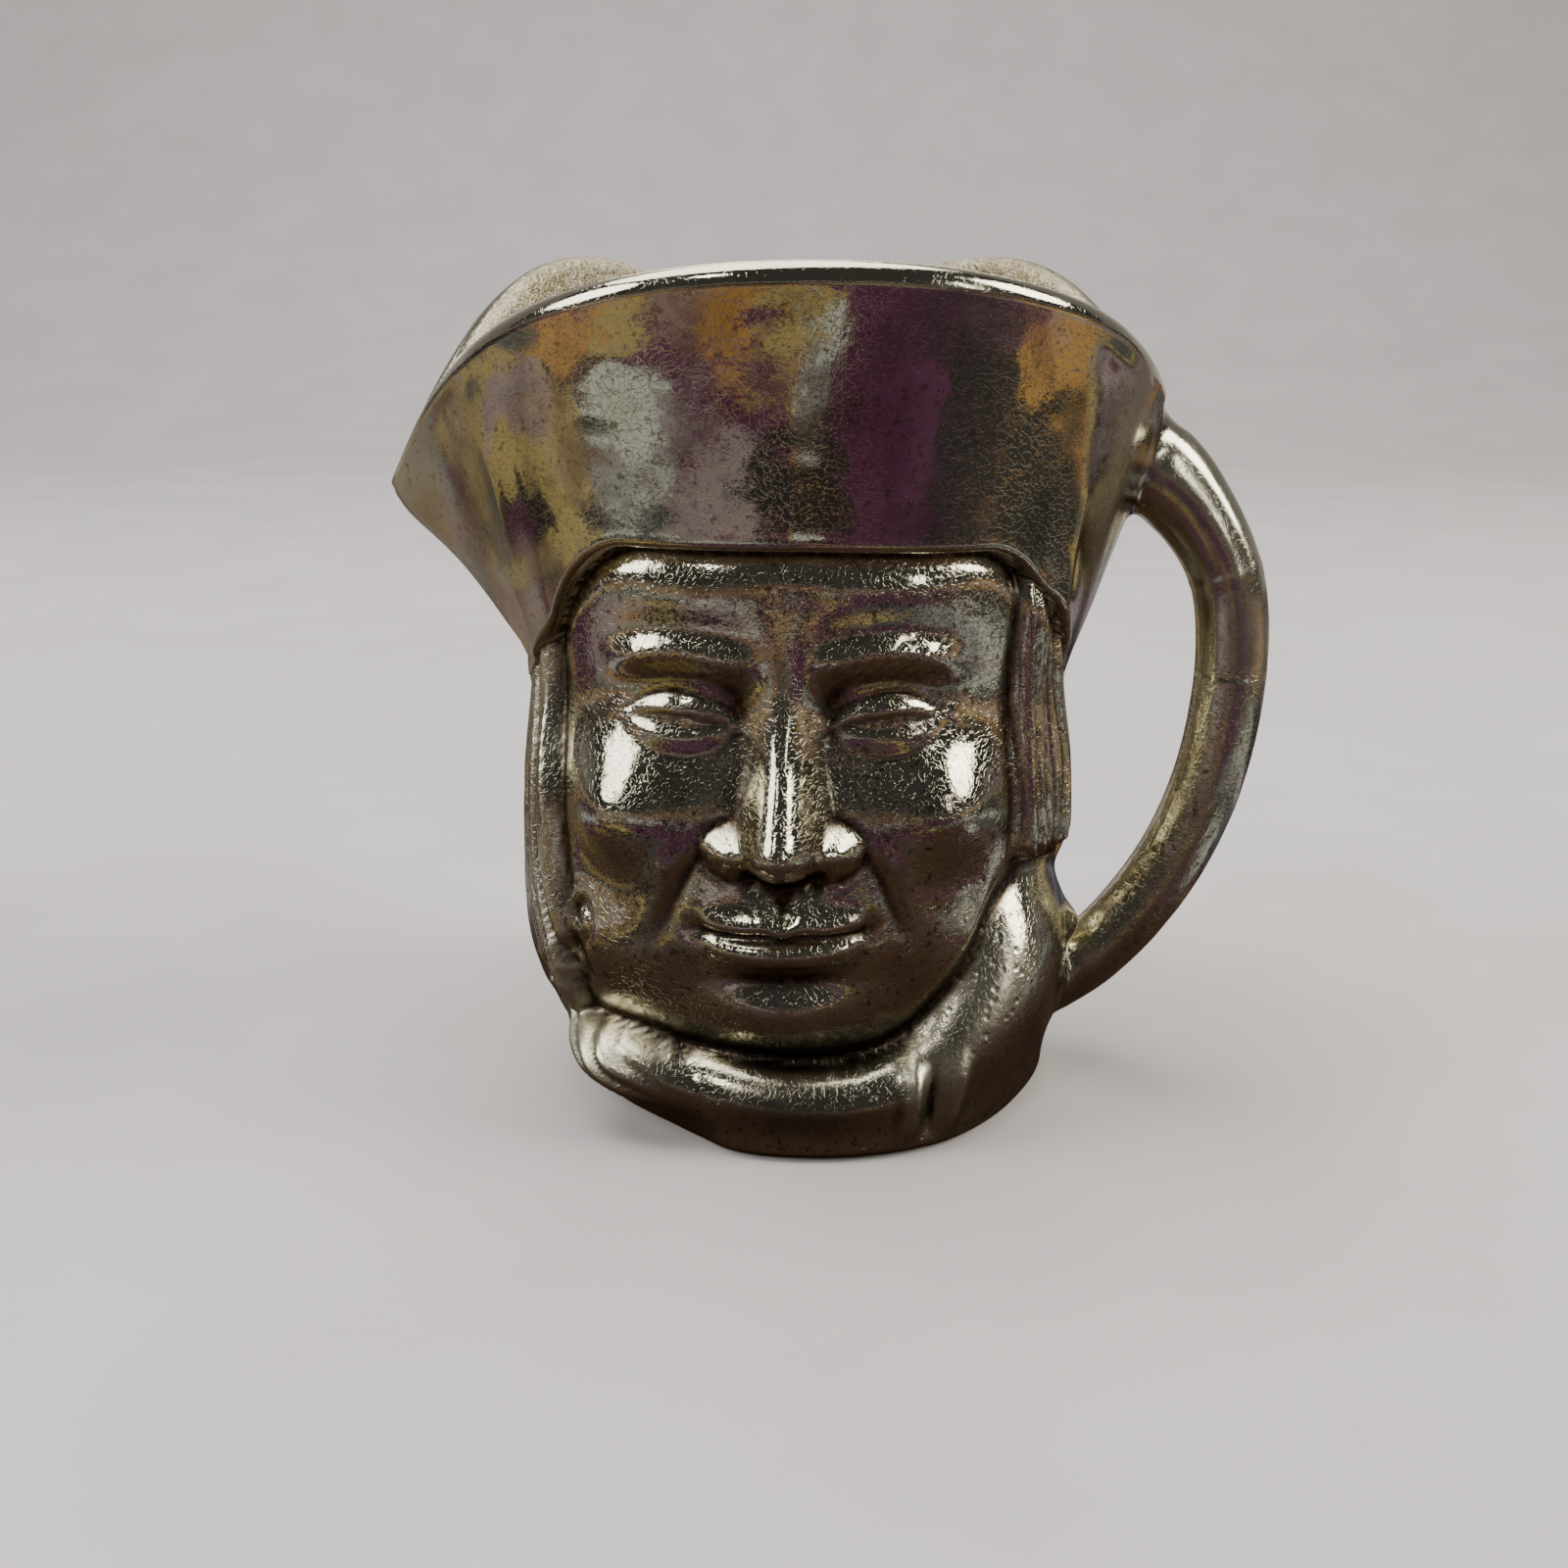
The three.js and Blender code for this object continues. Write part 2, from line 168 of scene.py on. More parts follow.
def waviness(points, size, seed):
    """Smooth random heights from -1 to 1 at points, with waves of about one size."""
    cells = 32
    values = np.random.default_rng(seed).uniform(-1, 1, (cells, cells, cells))
    place = points / size
    cell = np.floor(place).astype(int)
    t = place - cell
    t = t * t * (3 - 2 * t)
    total = np.zeros(points.shape[:-1])
    for corner in np.ndindex(2, 2, 2):
        share = np.prod(np.where(corner, t, 1 - t), axis=-1)
        i = (cell + corner) % cells
        total += share * values[i[..., 0], i[..., 1], i[..., 2]]
    return total


def oval(angle, side, front, back):
    """A rounded outline seen from above, as a radius."""
    a = np.radians(angle)
    depth = np.where(np.cos(a) > 0, front, back)
    x = np.abs(np.sin(a)) / side
    y = np.abs(np.cos(a)) / depth
    return (x ** SQUARENESS + y ** SQUARENESS) ** (-1 / SQUARENESS)


head_side = spline([
    (0, 15.5), (6, 17), (11, 18.9), (18, 19.1), (25, 18.8), (32, 17.9), (38, 18.4), (45, 19.4),
])
head_front = spline([
    (0, 14), (6, 14.8), (10, 16.1), (16, 17), (23, 17.3), (31, 17.1), (36, 17.6), (45, 18.6),
])
head_back = spline([
    (0, 14.5), (6, 15.4), (12, 17.2), (20, 18), (31, 17.4), (38, 17.8), (45, 18.8),
])
collar_top = around([
    (-180, 15), (-120, 12), (-80, 9), (-40, 8), (0, 6.4), (22, 7.6), (36, 12.8), (48, 17.4),
    (62, 18.6), (90, 18.4), (130, 16.5), (180, 15),
])
collar_reach = around([
    (-180, 19.8), (-120, 19.4), (-80, 18.8), (-40, 18.9), (0, 18.9), (28, 19.1), (60, 20),
    (90, 20), (130, 19.9), (180, 19.8),
])
foot_radius = around([
    (-180, 18.6), (-110, 18.2), (-80, 17.4), (-54, 16.7), (-38, 16.7), (-27, 17.4), (-17, 18.5),
    (0, 18.8), (30, 19.1), (45, 18.7), (60, 18.4), (90, 18.6), (180, 18.6),
])
hem_height = around([
    (-180, 11), (-90, 7), (-20, 7), (20, 18.8), (75, 18.8), (115, 11), (180, 11),
])
left_hair_edge = spline([(8, 50), (14, 50.6), (19, 53), (25, 54.5), (31, 59), (44, 60)])
sweep = spline([(6, 30), (10, 21), (14, 13), (19, 6), (25, 2), (32, 0), (44, 0)])
nose_rise = spline([
    (18.5, 0), (20.2, 0.3), (21.4, 3), (23, 4.8), (25, 4.6), (29, 2.9), (32.5, 1.7), (36, 0.8),
    (39, 0),
])
nose_width = spline([(18, 2.6), (22, 2.6), (25, 2.1), (30, 1.7), (36, 2.4), (39, 3)])
keel_edge = spline([(0, 27), (0.2, 20), (0.4, 8.5), (0.69, 1.5), (1, 0)])
room_share = spline([(0, 0.62), (1, 0.78), (3, 0.9), (7, 0.98), (12, 1), (60, 1)])


def brow_rise(t, z):
    """The ridge over an eye, with the hairs combed outward along it."""
    line = 34.7 + 1.1 * hill(t - 6.2, 4)
    shape = hill(z - line, 1.15) * smoothstep(t, 0.8, 3.6) * (1 - smoothstep(t, 8.5, 12.5))
    hairs = 0.1 * ridges(1.1 * t - 0.9 * (z - line), 0.7)
    forehead = 0.4 * hill(np.hypot((t - 5.5) / 5, (z - 39.2) / 2.2), 1)
    return (0.9 + hairs) * shape + forehead


def eye_rise(t, z):
    """A calm eye set softly in its socket, half covered by its upper lid, with a cut iris."""
    across = t - 6.8
    up = z - 31.1
    socket = -1.7 * hill(np.hypot(across / 4.7, up / 3.1), 1)
    inner = -0.5 * hill(np.hypot((t - 3.3) / 1.4, (z - 31.8) / 2), 1)
    ball = 1.75 * hill(np.hypot(across / 3.5, up / 2.3), 1)
    opening = 1 - (across / 3.1) ** 2
    tilt = 0.05 * across
    upper = smoothstep(up, 0.55 * opening + tilt - 0.1, 0.55 * opening + tilt + 0.2)
    lower = smoothstep(-up, 0.68 * opening - tilt - 0.1, 0.68 * opening - tilt + 0.25)
    lids = (0.42 * upper + 0.32 * lower) * hill(np.hypot(across / 3.7, up / 2.3), 1)
    fold = -0.26 * hill(up - 1.1 * opening - 0.8, 0.3) * dome(across / 4.3)
    bag = -0.12 * hill(up + 1.1 * opening + 1.3, 0.5) * dome(across / 4.2)
    centre = np.hypot(across + 0.1, up - 0.05)
    iris = -0.06 * hill(centre - 1, 0.18) - 0.1 * hill(centre, 0.36)
    return socket + inner + ball + lids + fold + bag + iris * (1 - upper) * (1 - lower)


def nose_height(t, z):
    tip = 0.45 * hill(np.hypot(t / 1.7, (z - 23) / 1.5), 1)
    ridge = nose_rise(z) * hill(t, nose_width(z)) + tip
    ring = np.hypot((t - 2.9) / 2, (z - 22.6) / 1.75)
    wing = 1.9 * hill(ring, 0.8)
    groove = -0.22 * hill(ring - 1.15, 0.22) * smoothstep(t, 2.6, 4)
    nostril = -0.9 * hill(np.hypot((t - 1.8) / 1.2, z - 20.9), 0.66)
    return soft_max(ridge, wing, 1.4) + groove + nostril


def mouth_rise(t, z):
    """Closed lips with the groove under the nose, and the chin below them."""
    muzzle = 1.25 * hill(np.hypot(t / 6.4, (z - 16.8) / 4.4), 1)
    groove = hill(z - 19.1, 1.2) * (0.14 * hill(t - 1.15, 0.5) - 0.3 * hill(t, 0.75))
    up = z - 16.5 - 0.012 * t * t
    bow = 0.22 * hill(t - 1.2, 1) - 0.18 * hill(t, 0.6)
    upper = 0.62 * dome(t / 5.2) * hill(up - 0.85 - bow, 0.7)
    lower = 0.85 * dome(t / 4.6) * hill(up + 1.15, 0.95)
    slit = -0.85 * dome(t / 5.4) * hill(up - 0.5 * bow, 0.32)
    corner = -0.32 * hill(np.hypot(t - 5.6, up), 0.85)
    hollow = -0.5 * hill(np.hypot(t / 4.5, (z - 13.3) / 1.3), 1)
    chin = 1.8 * hill(np.hypot(t / 4.9, (z - 10.4) / 2.9), 1)
    return muzzle + groove + upper + lower + slit + corner + hollow + chin


def cheek_rise(t, z):
    """A full cheek, and the fold that runs from the nose's wing to the corner of the mouth."""
    cheek = 2.2 * hill(np.hypot(t - 9.8, 0.9 * (z - 24.8)), 3.9)
    jaw = 0.7 * hill(np.hypot(t - 11, z - 14.5), 4) - 0.4 * hill(np.hypot(t - 12.5, z - 19), 2.6)
    down = (22.6 - z) / 6.8
    side = t - 5 - 2.9 * np.clip(down, 0, 1) ** 0.8
    fade = smoothstep(down, -0.1, 0.25) * (1 - smoothstep(down, 0.7, 1.2))
    return cheek + jaw + fade * (0.2 * hill(side - 1.3, 1.1) - 0.36 * hill(side, 0.7))


def face_rise(t, z):
    """The face as a height over the head, from the distance to its middle line and the height."""
    return (
        brow_rise(t, z) + eye_rise(t, z) + nose_height(t, z) + mouth_rise(t, z) + cheek_rise(t, z)
    )


def hair_edge(angle, z):
    """How far from the face's middle the hair begins, in degrees."""
    turn = turn_between(angle, FACE_TURN)
    return np.where(turn < 0, left_hair_edge(z), RIGHT_HAIR_EDGE)


def hair_share(angle, z):
    """How far into the hair a place is, from 0 on the face to 1."""
    turn = np.abs(turn_between(angle, FACE_TURN))
    edge = hair_edge(angle, z)
    hem = hem_height(angle) + 0.5 * ridges(angle / 4, 0.8)
    return smoothstep(turn, edge - 1, edge + 3) * smoothstep(z, hem - 0.5, hem + 0.5)


def strand_place(angle, z):
    """Where a place lies across the strands, which sweep in under the face on the left."""
    turn = turn_between(angle, 0)
    left = smoothstep(-turn, 15, 45) * (1 - smoothstep(-turn, 100, 150))
    return turn - left * sweep(z) + 1.2 * np.sin(z / 5)


def lock_rise(angle, z, locks):
    """Rounded locks, each combed into strands of uneven thickness."""
    place = strand_place(angle, z) / 360 * locks
    wander = 0.3 * np.sin(0.5 * z + 2 * np.floor(place))
    strand = 3 * place + wander * np.sin(np.pi * place) ** 2
    thickness = 0.3 + 0.35 * scatter(np.floor(strand))
    combed = thickness * np.abs(np.sin(np.pi * strand)) ** 0.6 - 0.3
    behind = smoothstep(np.abs(turn_between(angle, 0)), 84, 104)
    return LOCK_RISE * ridges(place, 0.5) + combed * (1 - 0.8 * behind)


def curl_rise(angle, z):
    """The curled tips of locks beside the face on the left, each in a small hollow of its own."""
    total = 0
    for middle, height, size in ((-53, 15.8, 1.5), (-56, 12.4, 1.4), (-66, 10.2, 1.4)):
        across = np.radians(turn_between(angle, middle)) * HAIR_RADIUS
        up = z - height
        away = np.hypot(across, 0.8 * up) / size
        swirl = np.sin(np.arctan2(up, across) + 5.5 * away) * smoothstep(away, 0.05, 0.4)
        total = total + hill(away, 0.95) * (0.26 * swirl - 0.05)
    return total


def collar_radius(angle, z):
    top = collar_top(angle)
    middle = 0.55 * top
    reach = collar_reach(angle)
    low = lerp(foot_radius(angle), reach, smoothstep(z, 0, middle))
    high = reach - 4 * (1 - dome(np.maximum(z - middle, 0) / (top - middle)))
    return np.where(z < middle, low, high)


def lobe_place(angle, z):
    """Shares of the way along and across the collar's left end, from its fat end behind."""
    along = np.radians(turn_between(angle, -46)) * 18.8
    up = z - 6.8
    long = (0.84 * along - 0.54 * up) / 7.4
    return long, (0.54 * along + 0.84 * up) / np.maximum(3.4 - long, 0.5)


def lobe_rise(angle, z):
    """The folded left end of the collar, which runs out forward into the band in wavy pleats."""
    long, wide = lobe_place(angle, z)
    shape = dome(np.minimum(long, 0), wide) * (1 - smoothstep(long, 0, 1.1))
    wave = 2.3 * wide + 0.35 * np.sin(2.6 * long + 0.8) + 0.09 * np.sin(9 * long + wide)
    depth = 0.36 * smoothstep(shape, 0.08, 0.5) * (1 - smoothstep(long, 0.25, 1))
    return 2.9 * shape + depth * (ridges(wave, 0.6) - 0.2)


def crease_rise(angle, z):
    """The two folds in the collar's front, right of the chin, with the groove between them."""
    low = smoothstep(z, 0.6, 2.8) * (1 - smoothstep(z, 5.5, 8))
    lean = angle - 0.35 * (z - 4.5)
    folds = 0.75 * hill(lean - 22.3, 1.9) + 0.6 * hill(lean - 31.8, 2.3)
    return low * (folds - 0.45 * hill(lean - 27, 1.8))


def lapel_rise(angle, z):
    """The collar's rounded roll, right of the chin, and the hollow between it and the jaw."""
    top = collar_top(angle)
    near = hill(turn_between(angle, 45), 17)
    roll = 1.1 * near * hill(z / top - 0.6, 0.32)
    hollow = -0.9 * near * hill(z - top, 2)
    return roll, hollow


def knob_rise(angle, z):
    """Lumps of metal where the handle's lower end was cast on to the collar."""
    total = 0
    for middle, height, size, rise in ((83, 11.9, 1.5, 1.1), (80, 6.6, 1.9, 0.7)):
        away = np.hypot(np.radians(angle - middle) * 20, z - height) / size
        total = total + rise * hill(away, 1)
    return total


def head_radius(angle, z):
    side = HEAD_SHIFT * np.sin(np.radians(angle))
    return oval(angle, head_side(z), head_front(z), head_back(z)) + side


def body_radius(angle, z, locks):
    turn = np.abs(turn_between(angle, FACE_TURN))
    face = face_rise(np.radians(turn) * 17, z) * (1 - smoothstep(turn, 50, 62))
    hair = hair_share(angle, z) * (HAIR_RISE + lock_rise(angle, z, locks))
    roll, hollow = lapel_rise(angle, z)
    collar = collar_radius(angle, z) + lobe_rise(angle, z) + crease_rise(angle, z) + roll
    head = head_radius(angle, z) + face + hair + curl_rise(angle, z) + hollow
    return soft_max(head, collar, 0.8) + knob_rise(angle, z)


def peak(turn, width, tip):
    """1 at the tip of a corner, falling away on both sides over a width, with the tip rounded."""
    return np.exp(-(np.hypot(turn, tip) - tip) / width)


def spout(angle):
    return peak(turn_between(angle, SPOUT_ANGLE), 3.5, 1)


def corner_reach(angle):
    total = 0
    for middle, reach, before, after in CORNERS:
        turn = turn_between(angle, middle)
        total = total + reach * peak(turn, np.where(turn < 0, before, after), 5)
    return total


def near_corner(angle):
    """How near a place is to a corner of the hat, from 0 to 1."""
    turns = [np.abs(turn_between(angle, corner[0])) for corner in CORNERS]
    return 1 - smoothstep(np.min(turns, axis=0), 4, 56)


def rim_height(angle):
    first = CORNERS[0][0]
    turn = (angle - first) % 360 + first
    stops = [corner[0] for corner in CORNERS] + [first + 360]
    crown = np.where(np.abs(turn) < 90, DRAWN_HEIGHT, BACK_HEIGHT)
    height = np.zeros_like(turn)
    for start, end in zip(stops, stops[1:]):
        arch = 1 - np.abs((2 * turn - start - end) / (end - start)) ** ARCH_SHAPE
        within = (turn >= start) & (turn <= end)
        height = np.where(within, lerp(CORNER_HEIGHT, crown, arch), height)
    return height - SPOUT_DIP * spout(angle)


def brim_foot(angle):
    corner = near_corner(angle)
    tilt = BRIM_TILT * np.maximum(0, np.sin(np.radians(angle))) * (1 - corner)
    return lerp(BRIM_FOOT, KEEL_FOOT, corner) - tilt


def brim_point(angle, share, wall):
    """The turned-up brim without its spout, from its foot at share 0 to its edge at share 1."""
    corner = near_corner(angle)
    foot = brim_foot(angle)
    turn = np.abs(turn_between(angle, FACE_TURN))
    hair = HAIR_RISE * smoothstep(turn, 54, 64)
    start = head_radius(angle, foot) + hair + BRIM_OVERHANG * (1 - 0.8 * corner ** 2)
    edge = oval(angle, RIM_RADIUS, RIM_RADIUS, RIM_RADIUS) + corner_reach(angle)
    radius = lerp(start, edge, share ** lerp(1.15, 0.85, corner))
    return radius, lerp(foot + BRIM_ROLL, rim_height(angle) - wall / 2, share)


def spout_reach(angle, share):
    """How far the pouring lip stands out, blunt below the brim's edge."""
    return spout(angle) * (SPOUT_REACH * share ** 2 + 0.5 * hill(share - 0.84, 0.12))


def brim_relief(angle, share, z):
    """Low relief on the brim: rounded keels with valleys beside them, and a crease left in casting."""
    left = np.abs(turn_between(angle, SPOUT_ANGLE))
    right = np.abs(turn_between(angle, 90))
    fade = smoothstep(share, 0, 0.3) * (1 - smoothstep(share, 0.93, 1))
    edge = left - keel_edge(share)
    keel = 0.3 * hill(edge, 3.2) - 0.18 * hill(edge - 11, 9)
    shoulder = 0.2 * hill(right - 19, 4) - 0.26 * hill(right - 31, 6)
    crease = 0.03 * hill(z - 39.65 - 0.152 * (angle + 59), 0.2) * hill(angle + 59, 8)
    return fade * (keel * (1 - smoothstep(left, 34, 52)) + shoulder + crease)


def slant_wall(angle, share, wall):
    """The wall measured outward from the axis, thicker where the surface stands aslant."""
    step = 2
    here = brim_point(angle, share, wall)[0]
    ahead = brim_point(angle + step, share, wall)[0]
    behind = brim_point(angle - step, share, wall)[0]
    slope = (ahead - behind) / 2 / (here * math.radians(step))
    return wall * np.minimum(np.hypot(1, slope), 1.5)


def room_radius(angle, z, wall, floor):
    hair = HAIR_RISE - LOCK_RISE
    inner = oval(
        angle, head_side(z) + hair, head_front(z) - FACE_HOLLOWS, head_back(z) + hair
    ) - wall
    return inner * room_share(z - floor) + HEAD_SHIFT * np.sin(np.radians(angle))


def outside_rings(angle, sizes):
    """The outside of the cup as rings of radii and heights, from the foot to the rim's top."""
    wall, foot_round, locks = sizes["wall"], sizes["foot_round"], sizes["locks"]
    foot = brim_foot(angle)
    rings = []
    for drop in (1, 0.6, 0.3, 0.1):
        radius = body_radius(angle, foot_round, locks) - foot_round * drop ** 1.5
        rings.append((radius, foot_round * (1 - drop) + 0 * angle))
    for share in np.linspace(0, 1, BODY_ROWS):
        z = lerp(foot_round, foot, share)
        shade = -0.85 * hill(foot - z, 1.3) * (1 - near_corner(angle))
        rings.append((body_radius(angle, z, locks) + shade, z))
    under = rings[-1][0]
    start = np.maximum(brim_point(angle, 0, wall)[0], under + 0.15)
    for row in range(1, UNDERSIDE_ROWS):
        turn = row / UNDERSIDE_ROWS * math.pi / 2
        rings.append((
            lerp(under, start, math.sin(turn) ** 0.8),
            foot + BRIM_ROLL * (1 - math.cos(turn)) - 0.25 * math.sin(2 * turn),
        ))
    for share in np.linspace(0, 1, BRIM_ROWS):
        radius, z = brim_point(angle, share, wall)
        radius = np.maximum(radius, under + 0.15) + spout_reach(angle, share)
        rings.append((radius + brim_relief(angle, share, z), z))
    return rings


def rim_and_room_rings(angle, sizes):
    """The rim's rounding and the inside of the cup, down to the floor."""
    wall, floor = sizes["wall"], sizes["floor"]
    rim, lip = brim_point(angle, 1, wall)
    outer = rim + SPOUT_REACH * spout(angle)
    inner = rim - slant_wall(angle, 1, wall)
    rings = []
    for turn in np.linspace(0, math.pi, RIM_ROWS + 1)[1:-1]:
        across = (1 - math.cos(turn)) / 2
        rings.append((lerp(outer, inner, across), lip + wall / 2 * math.sin(turn)))
    knots = []
    for share in (1, 0.66, 0.33):
        radius, z = brim_point(angle, share, wall)
        knots.append((radius - slant_wall(angle, share, wall), z))
    foot = brim_foot(angle)
    knots.append((room_radius(angle, foot, wall, floor) + 0.4 * wall, foot + wall / 2))
    for share in (0, 0.25, 0.5, 0.75, 1):
        z = lerp(foot - wall, floor, share ** 0.6)
        knots.append((room_radius(angle, z, wall, floor), z))
    knots = np.array(knots)
    at = np.linspace(0, len(knots) - 1, INSIDE_ROWS)
    for place in at:
        i = min(int(place), len(knots) - 2)
        t = place - i
        before, here = knots[max(i - 1, 0)], knots[i]
        after, beyond = knots[i + 1], knots[min(i + 2, len(knots) - 1)]
        bow = t * (1 - t) * ((1 - t) * (after - before) - t * (beyond - here)) / 2
        rings.append(tuple(here + (after - here) * t * t * (3 - 2 * t) + bow))
    for share in (0.85, 0.55, 0.25):
        rings.append((rings[-1][0] * 0 + knots[-1][0] * share, floor + 0 * angle))
    return rings


def column_angles():
    """Angles round the jug, closer together across the face and at the spout."""
    stops = [
        (FACE_TURN - FACE_EDGE, 160), (FACE_TURN + FACE_EDGE, 64), (105, 62), (225, 30),
        (262, 56), (FACE_TURN - FACE_EDGE + 360, 0),
    ]
    return np.concatenate([
        np.linspace(start, end, count, endpoint=False)
        for (start, count), (end, _) in zip(stops, stops[1:])
    ])


def ring_points(angle, rings):
    a = np.radians(angle)
    return np.array([
        np.stack([radius * np.sin(a), -radius * np.cos(a), z + 0 * a], axis=-1)
        for radius, z in rings
    ])


def closed_mesh(name, points, bottom, top):
    """A closed skin over rings of points, with a middle point under the first and the last."""
    rows, columns = points.shape[:2]
    corner = np.arange(rows * columns).reshape(rows, columns)
    beside = np.roll(corner, -1, axis=1)
    quads = np.stack([corner[:-1], beside[:-1], beside[1:], corner[1:]], axis=-1).reshape(-1, 4)
    low, high = rows * columns, rows * columns + 1
    faces = quads.tolist()
    faces += [(low, b, a) for a, b in zip(corner[0].tolist(), beside[0].tolist())]
    faces += [(high, a, b) for a, b in zip(corner[-1].tolist(), beside[-1].tolist())]
    vertices = np.concatenate([points.reshape(-1, 3), [bottom, top]]) * MM
    mesh = bpy.data.meshes.new(name)
    mesh.from_pydata(vertices.tolist(), [], faces)
    return mesh


def linked(name, mesh):
    piece = bpy.data.objects.new(name, mesh)
    bpy.context.scene.collection.objects.link(piece)
    return piece


def make_cup(sizes):
    """The cup as one closed shell, and the room inside it as a solid that trims the handle."""
    scale = sizes["height"] / DRAWN_HEIGHT
    plain = {key: value / scale for key, value in sizes.items()}
    plain["locks"] = sizes["locks"]
    angle = column_angles()
    outside = outside_rings(angle, plain)
    inside = rim_and_room_rings(angle, plain)
    points = ring_points(angle, outside + inside)
    radial = points * (1, 1, 0)
    radial /= np.linalg.norm(radial, axis=-1, keepdims=True)
    rough = np.zeros(points.shape[:2])
    rough[len(outside) + RIM_ROWS - 1:] = 1
    swell = 0.05 * waviness(points, 4.5, 3) + 0.018 * waviness(points, 1.7, 4)
    grain = 0.07 * waviness(points, 2.2, 5) + 0.06 * waviness(points, 0.8, 6)
    rise = lerp(swell, grain, rough) * smoothstep(points[..., 2], 0.2, 1.5)
    points = points + radial * rise[..., None]
    cup = closed_mesh("cup", points * scale, (0, 0, 0), (0, 0, sizes["floor"]))
    trim_rings = [(radius + plain["wall"] / 2, z) for radius, z in inside[RIM_ROWS - 1:-3][::-1]]
    trim_rings.append((trim_rings[-1][0], ROOM_TOP + 0 * angle))
    room = closed_mesh("room", ring_points(angle, trim_rings) * scale,
                       (0, 0, sizes["floor"]), (0, 0, ROOM_TOP * scale))
    return linked("cup", cup), linked("room", room)


def handle_path(scale):
    """The handle's middle line as closely spaced points, by a centripetal Catmull-Rom spline."""
    knots = np.array(HANDLE_LINE, float) * scale
    knots = np.vstack([2 * knots[0] - knots[1], knots, 2 * knots[-1] - knots[-2]])
    points = []
    for p0, p1, p2, p3 in zip(knots, knots[1:], knots[2:], knots[3:]):
        gap = [math.dist(a, b) ** 0.5 for a, b in ((p0, p1), (p1, p2), (p2, p3))]
        leave = (p1 - p0) / gap[0] - (p2 - p0) / (gap[0] + gap[1]) + (p2 - p1) / gap[1]
        arrive = (p2 - p1) / gap[1] - (p3 - p1) / (gap[1] + gap[2]) + (p3 - p2) / gap[2]
        for t in np.linspace(0, 1, 12, endpoint=False):
            bow = t * (1 - t) * ((1 - t) * leave - t * arrive) * gap[1]
            points.append(p1 + (p2 - p1) * t * t * (3 - 2 * t) + bow)
    points.append(knots[-2])
    return [(out * MM, 0, up * MM) for out, up in points]


def wire(tree, kind, sources=None, **settings):
    """Adds a node to a tree. Sources are numbers or other nodes' outputs, by socket."""
    node = tree.nodes.new(kind)
    for name, value in settings.items():
        setattr(node, name, value)
    for socket, source in (sources or {}).items():
        if isinstance(source, bpy.types.NodeSocket):
            tree.links.new(source, node.inputs[socket])
        else:
            node.inputs[socket].default_value = source
    return node


def calculate(tree, operation, a, b=0.0):
    kind = "ShaderNodeMath"
    return wire(tree, kind, {0: a, 1: b}, operation=operation).outputs[0]


def times(tree, a, b):
    return calculate(tree, "MULTIPLY", a, b)


def plus(tree, a, b):
    return calculate(tree, "ADD", a, b)


def minus(tree, a, b):
    return calculate(tree, "SUBTRACT", a, b)


def bell(tree, value, width):
    """A socket that is 1 where a value is 0, and falls away smoothly over a width."""
    share = calculate(tree, "DIVIDE", value, width)
    square = times(tree, share, share)
    return calculate(tree, "EXPONENT", times(tree, square, -1.0))


def captured(tree, geometry, name):
    """A curve that carries its own factor along as an attribute, and that attribute."""
    node = wire(tree, "GeometryNodeCaptureAttribute", {"Geometry": geometry})
    node.capture_items.new("FLOAT", name)
    factor = wire(tree, "GeometryNodeSplineParameter").outputs["Factor"]
    tree.links.new(factor, node.inputs[name])
    return node.outputs["Geometry"], node.outputs[name]


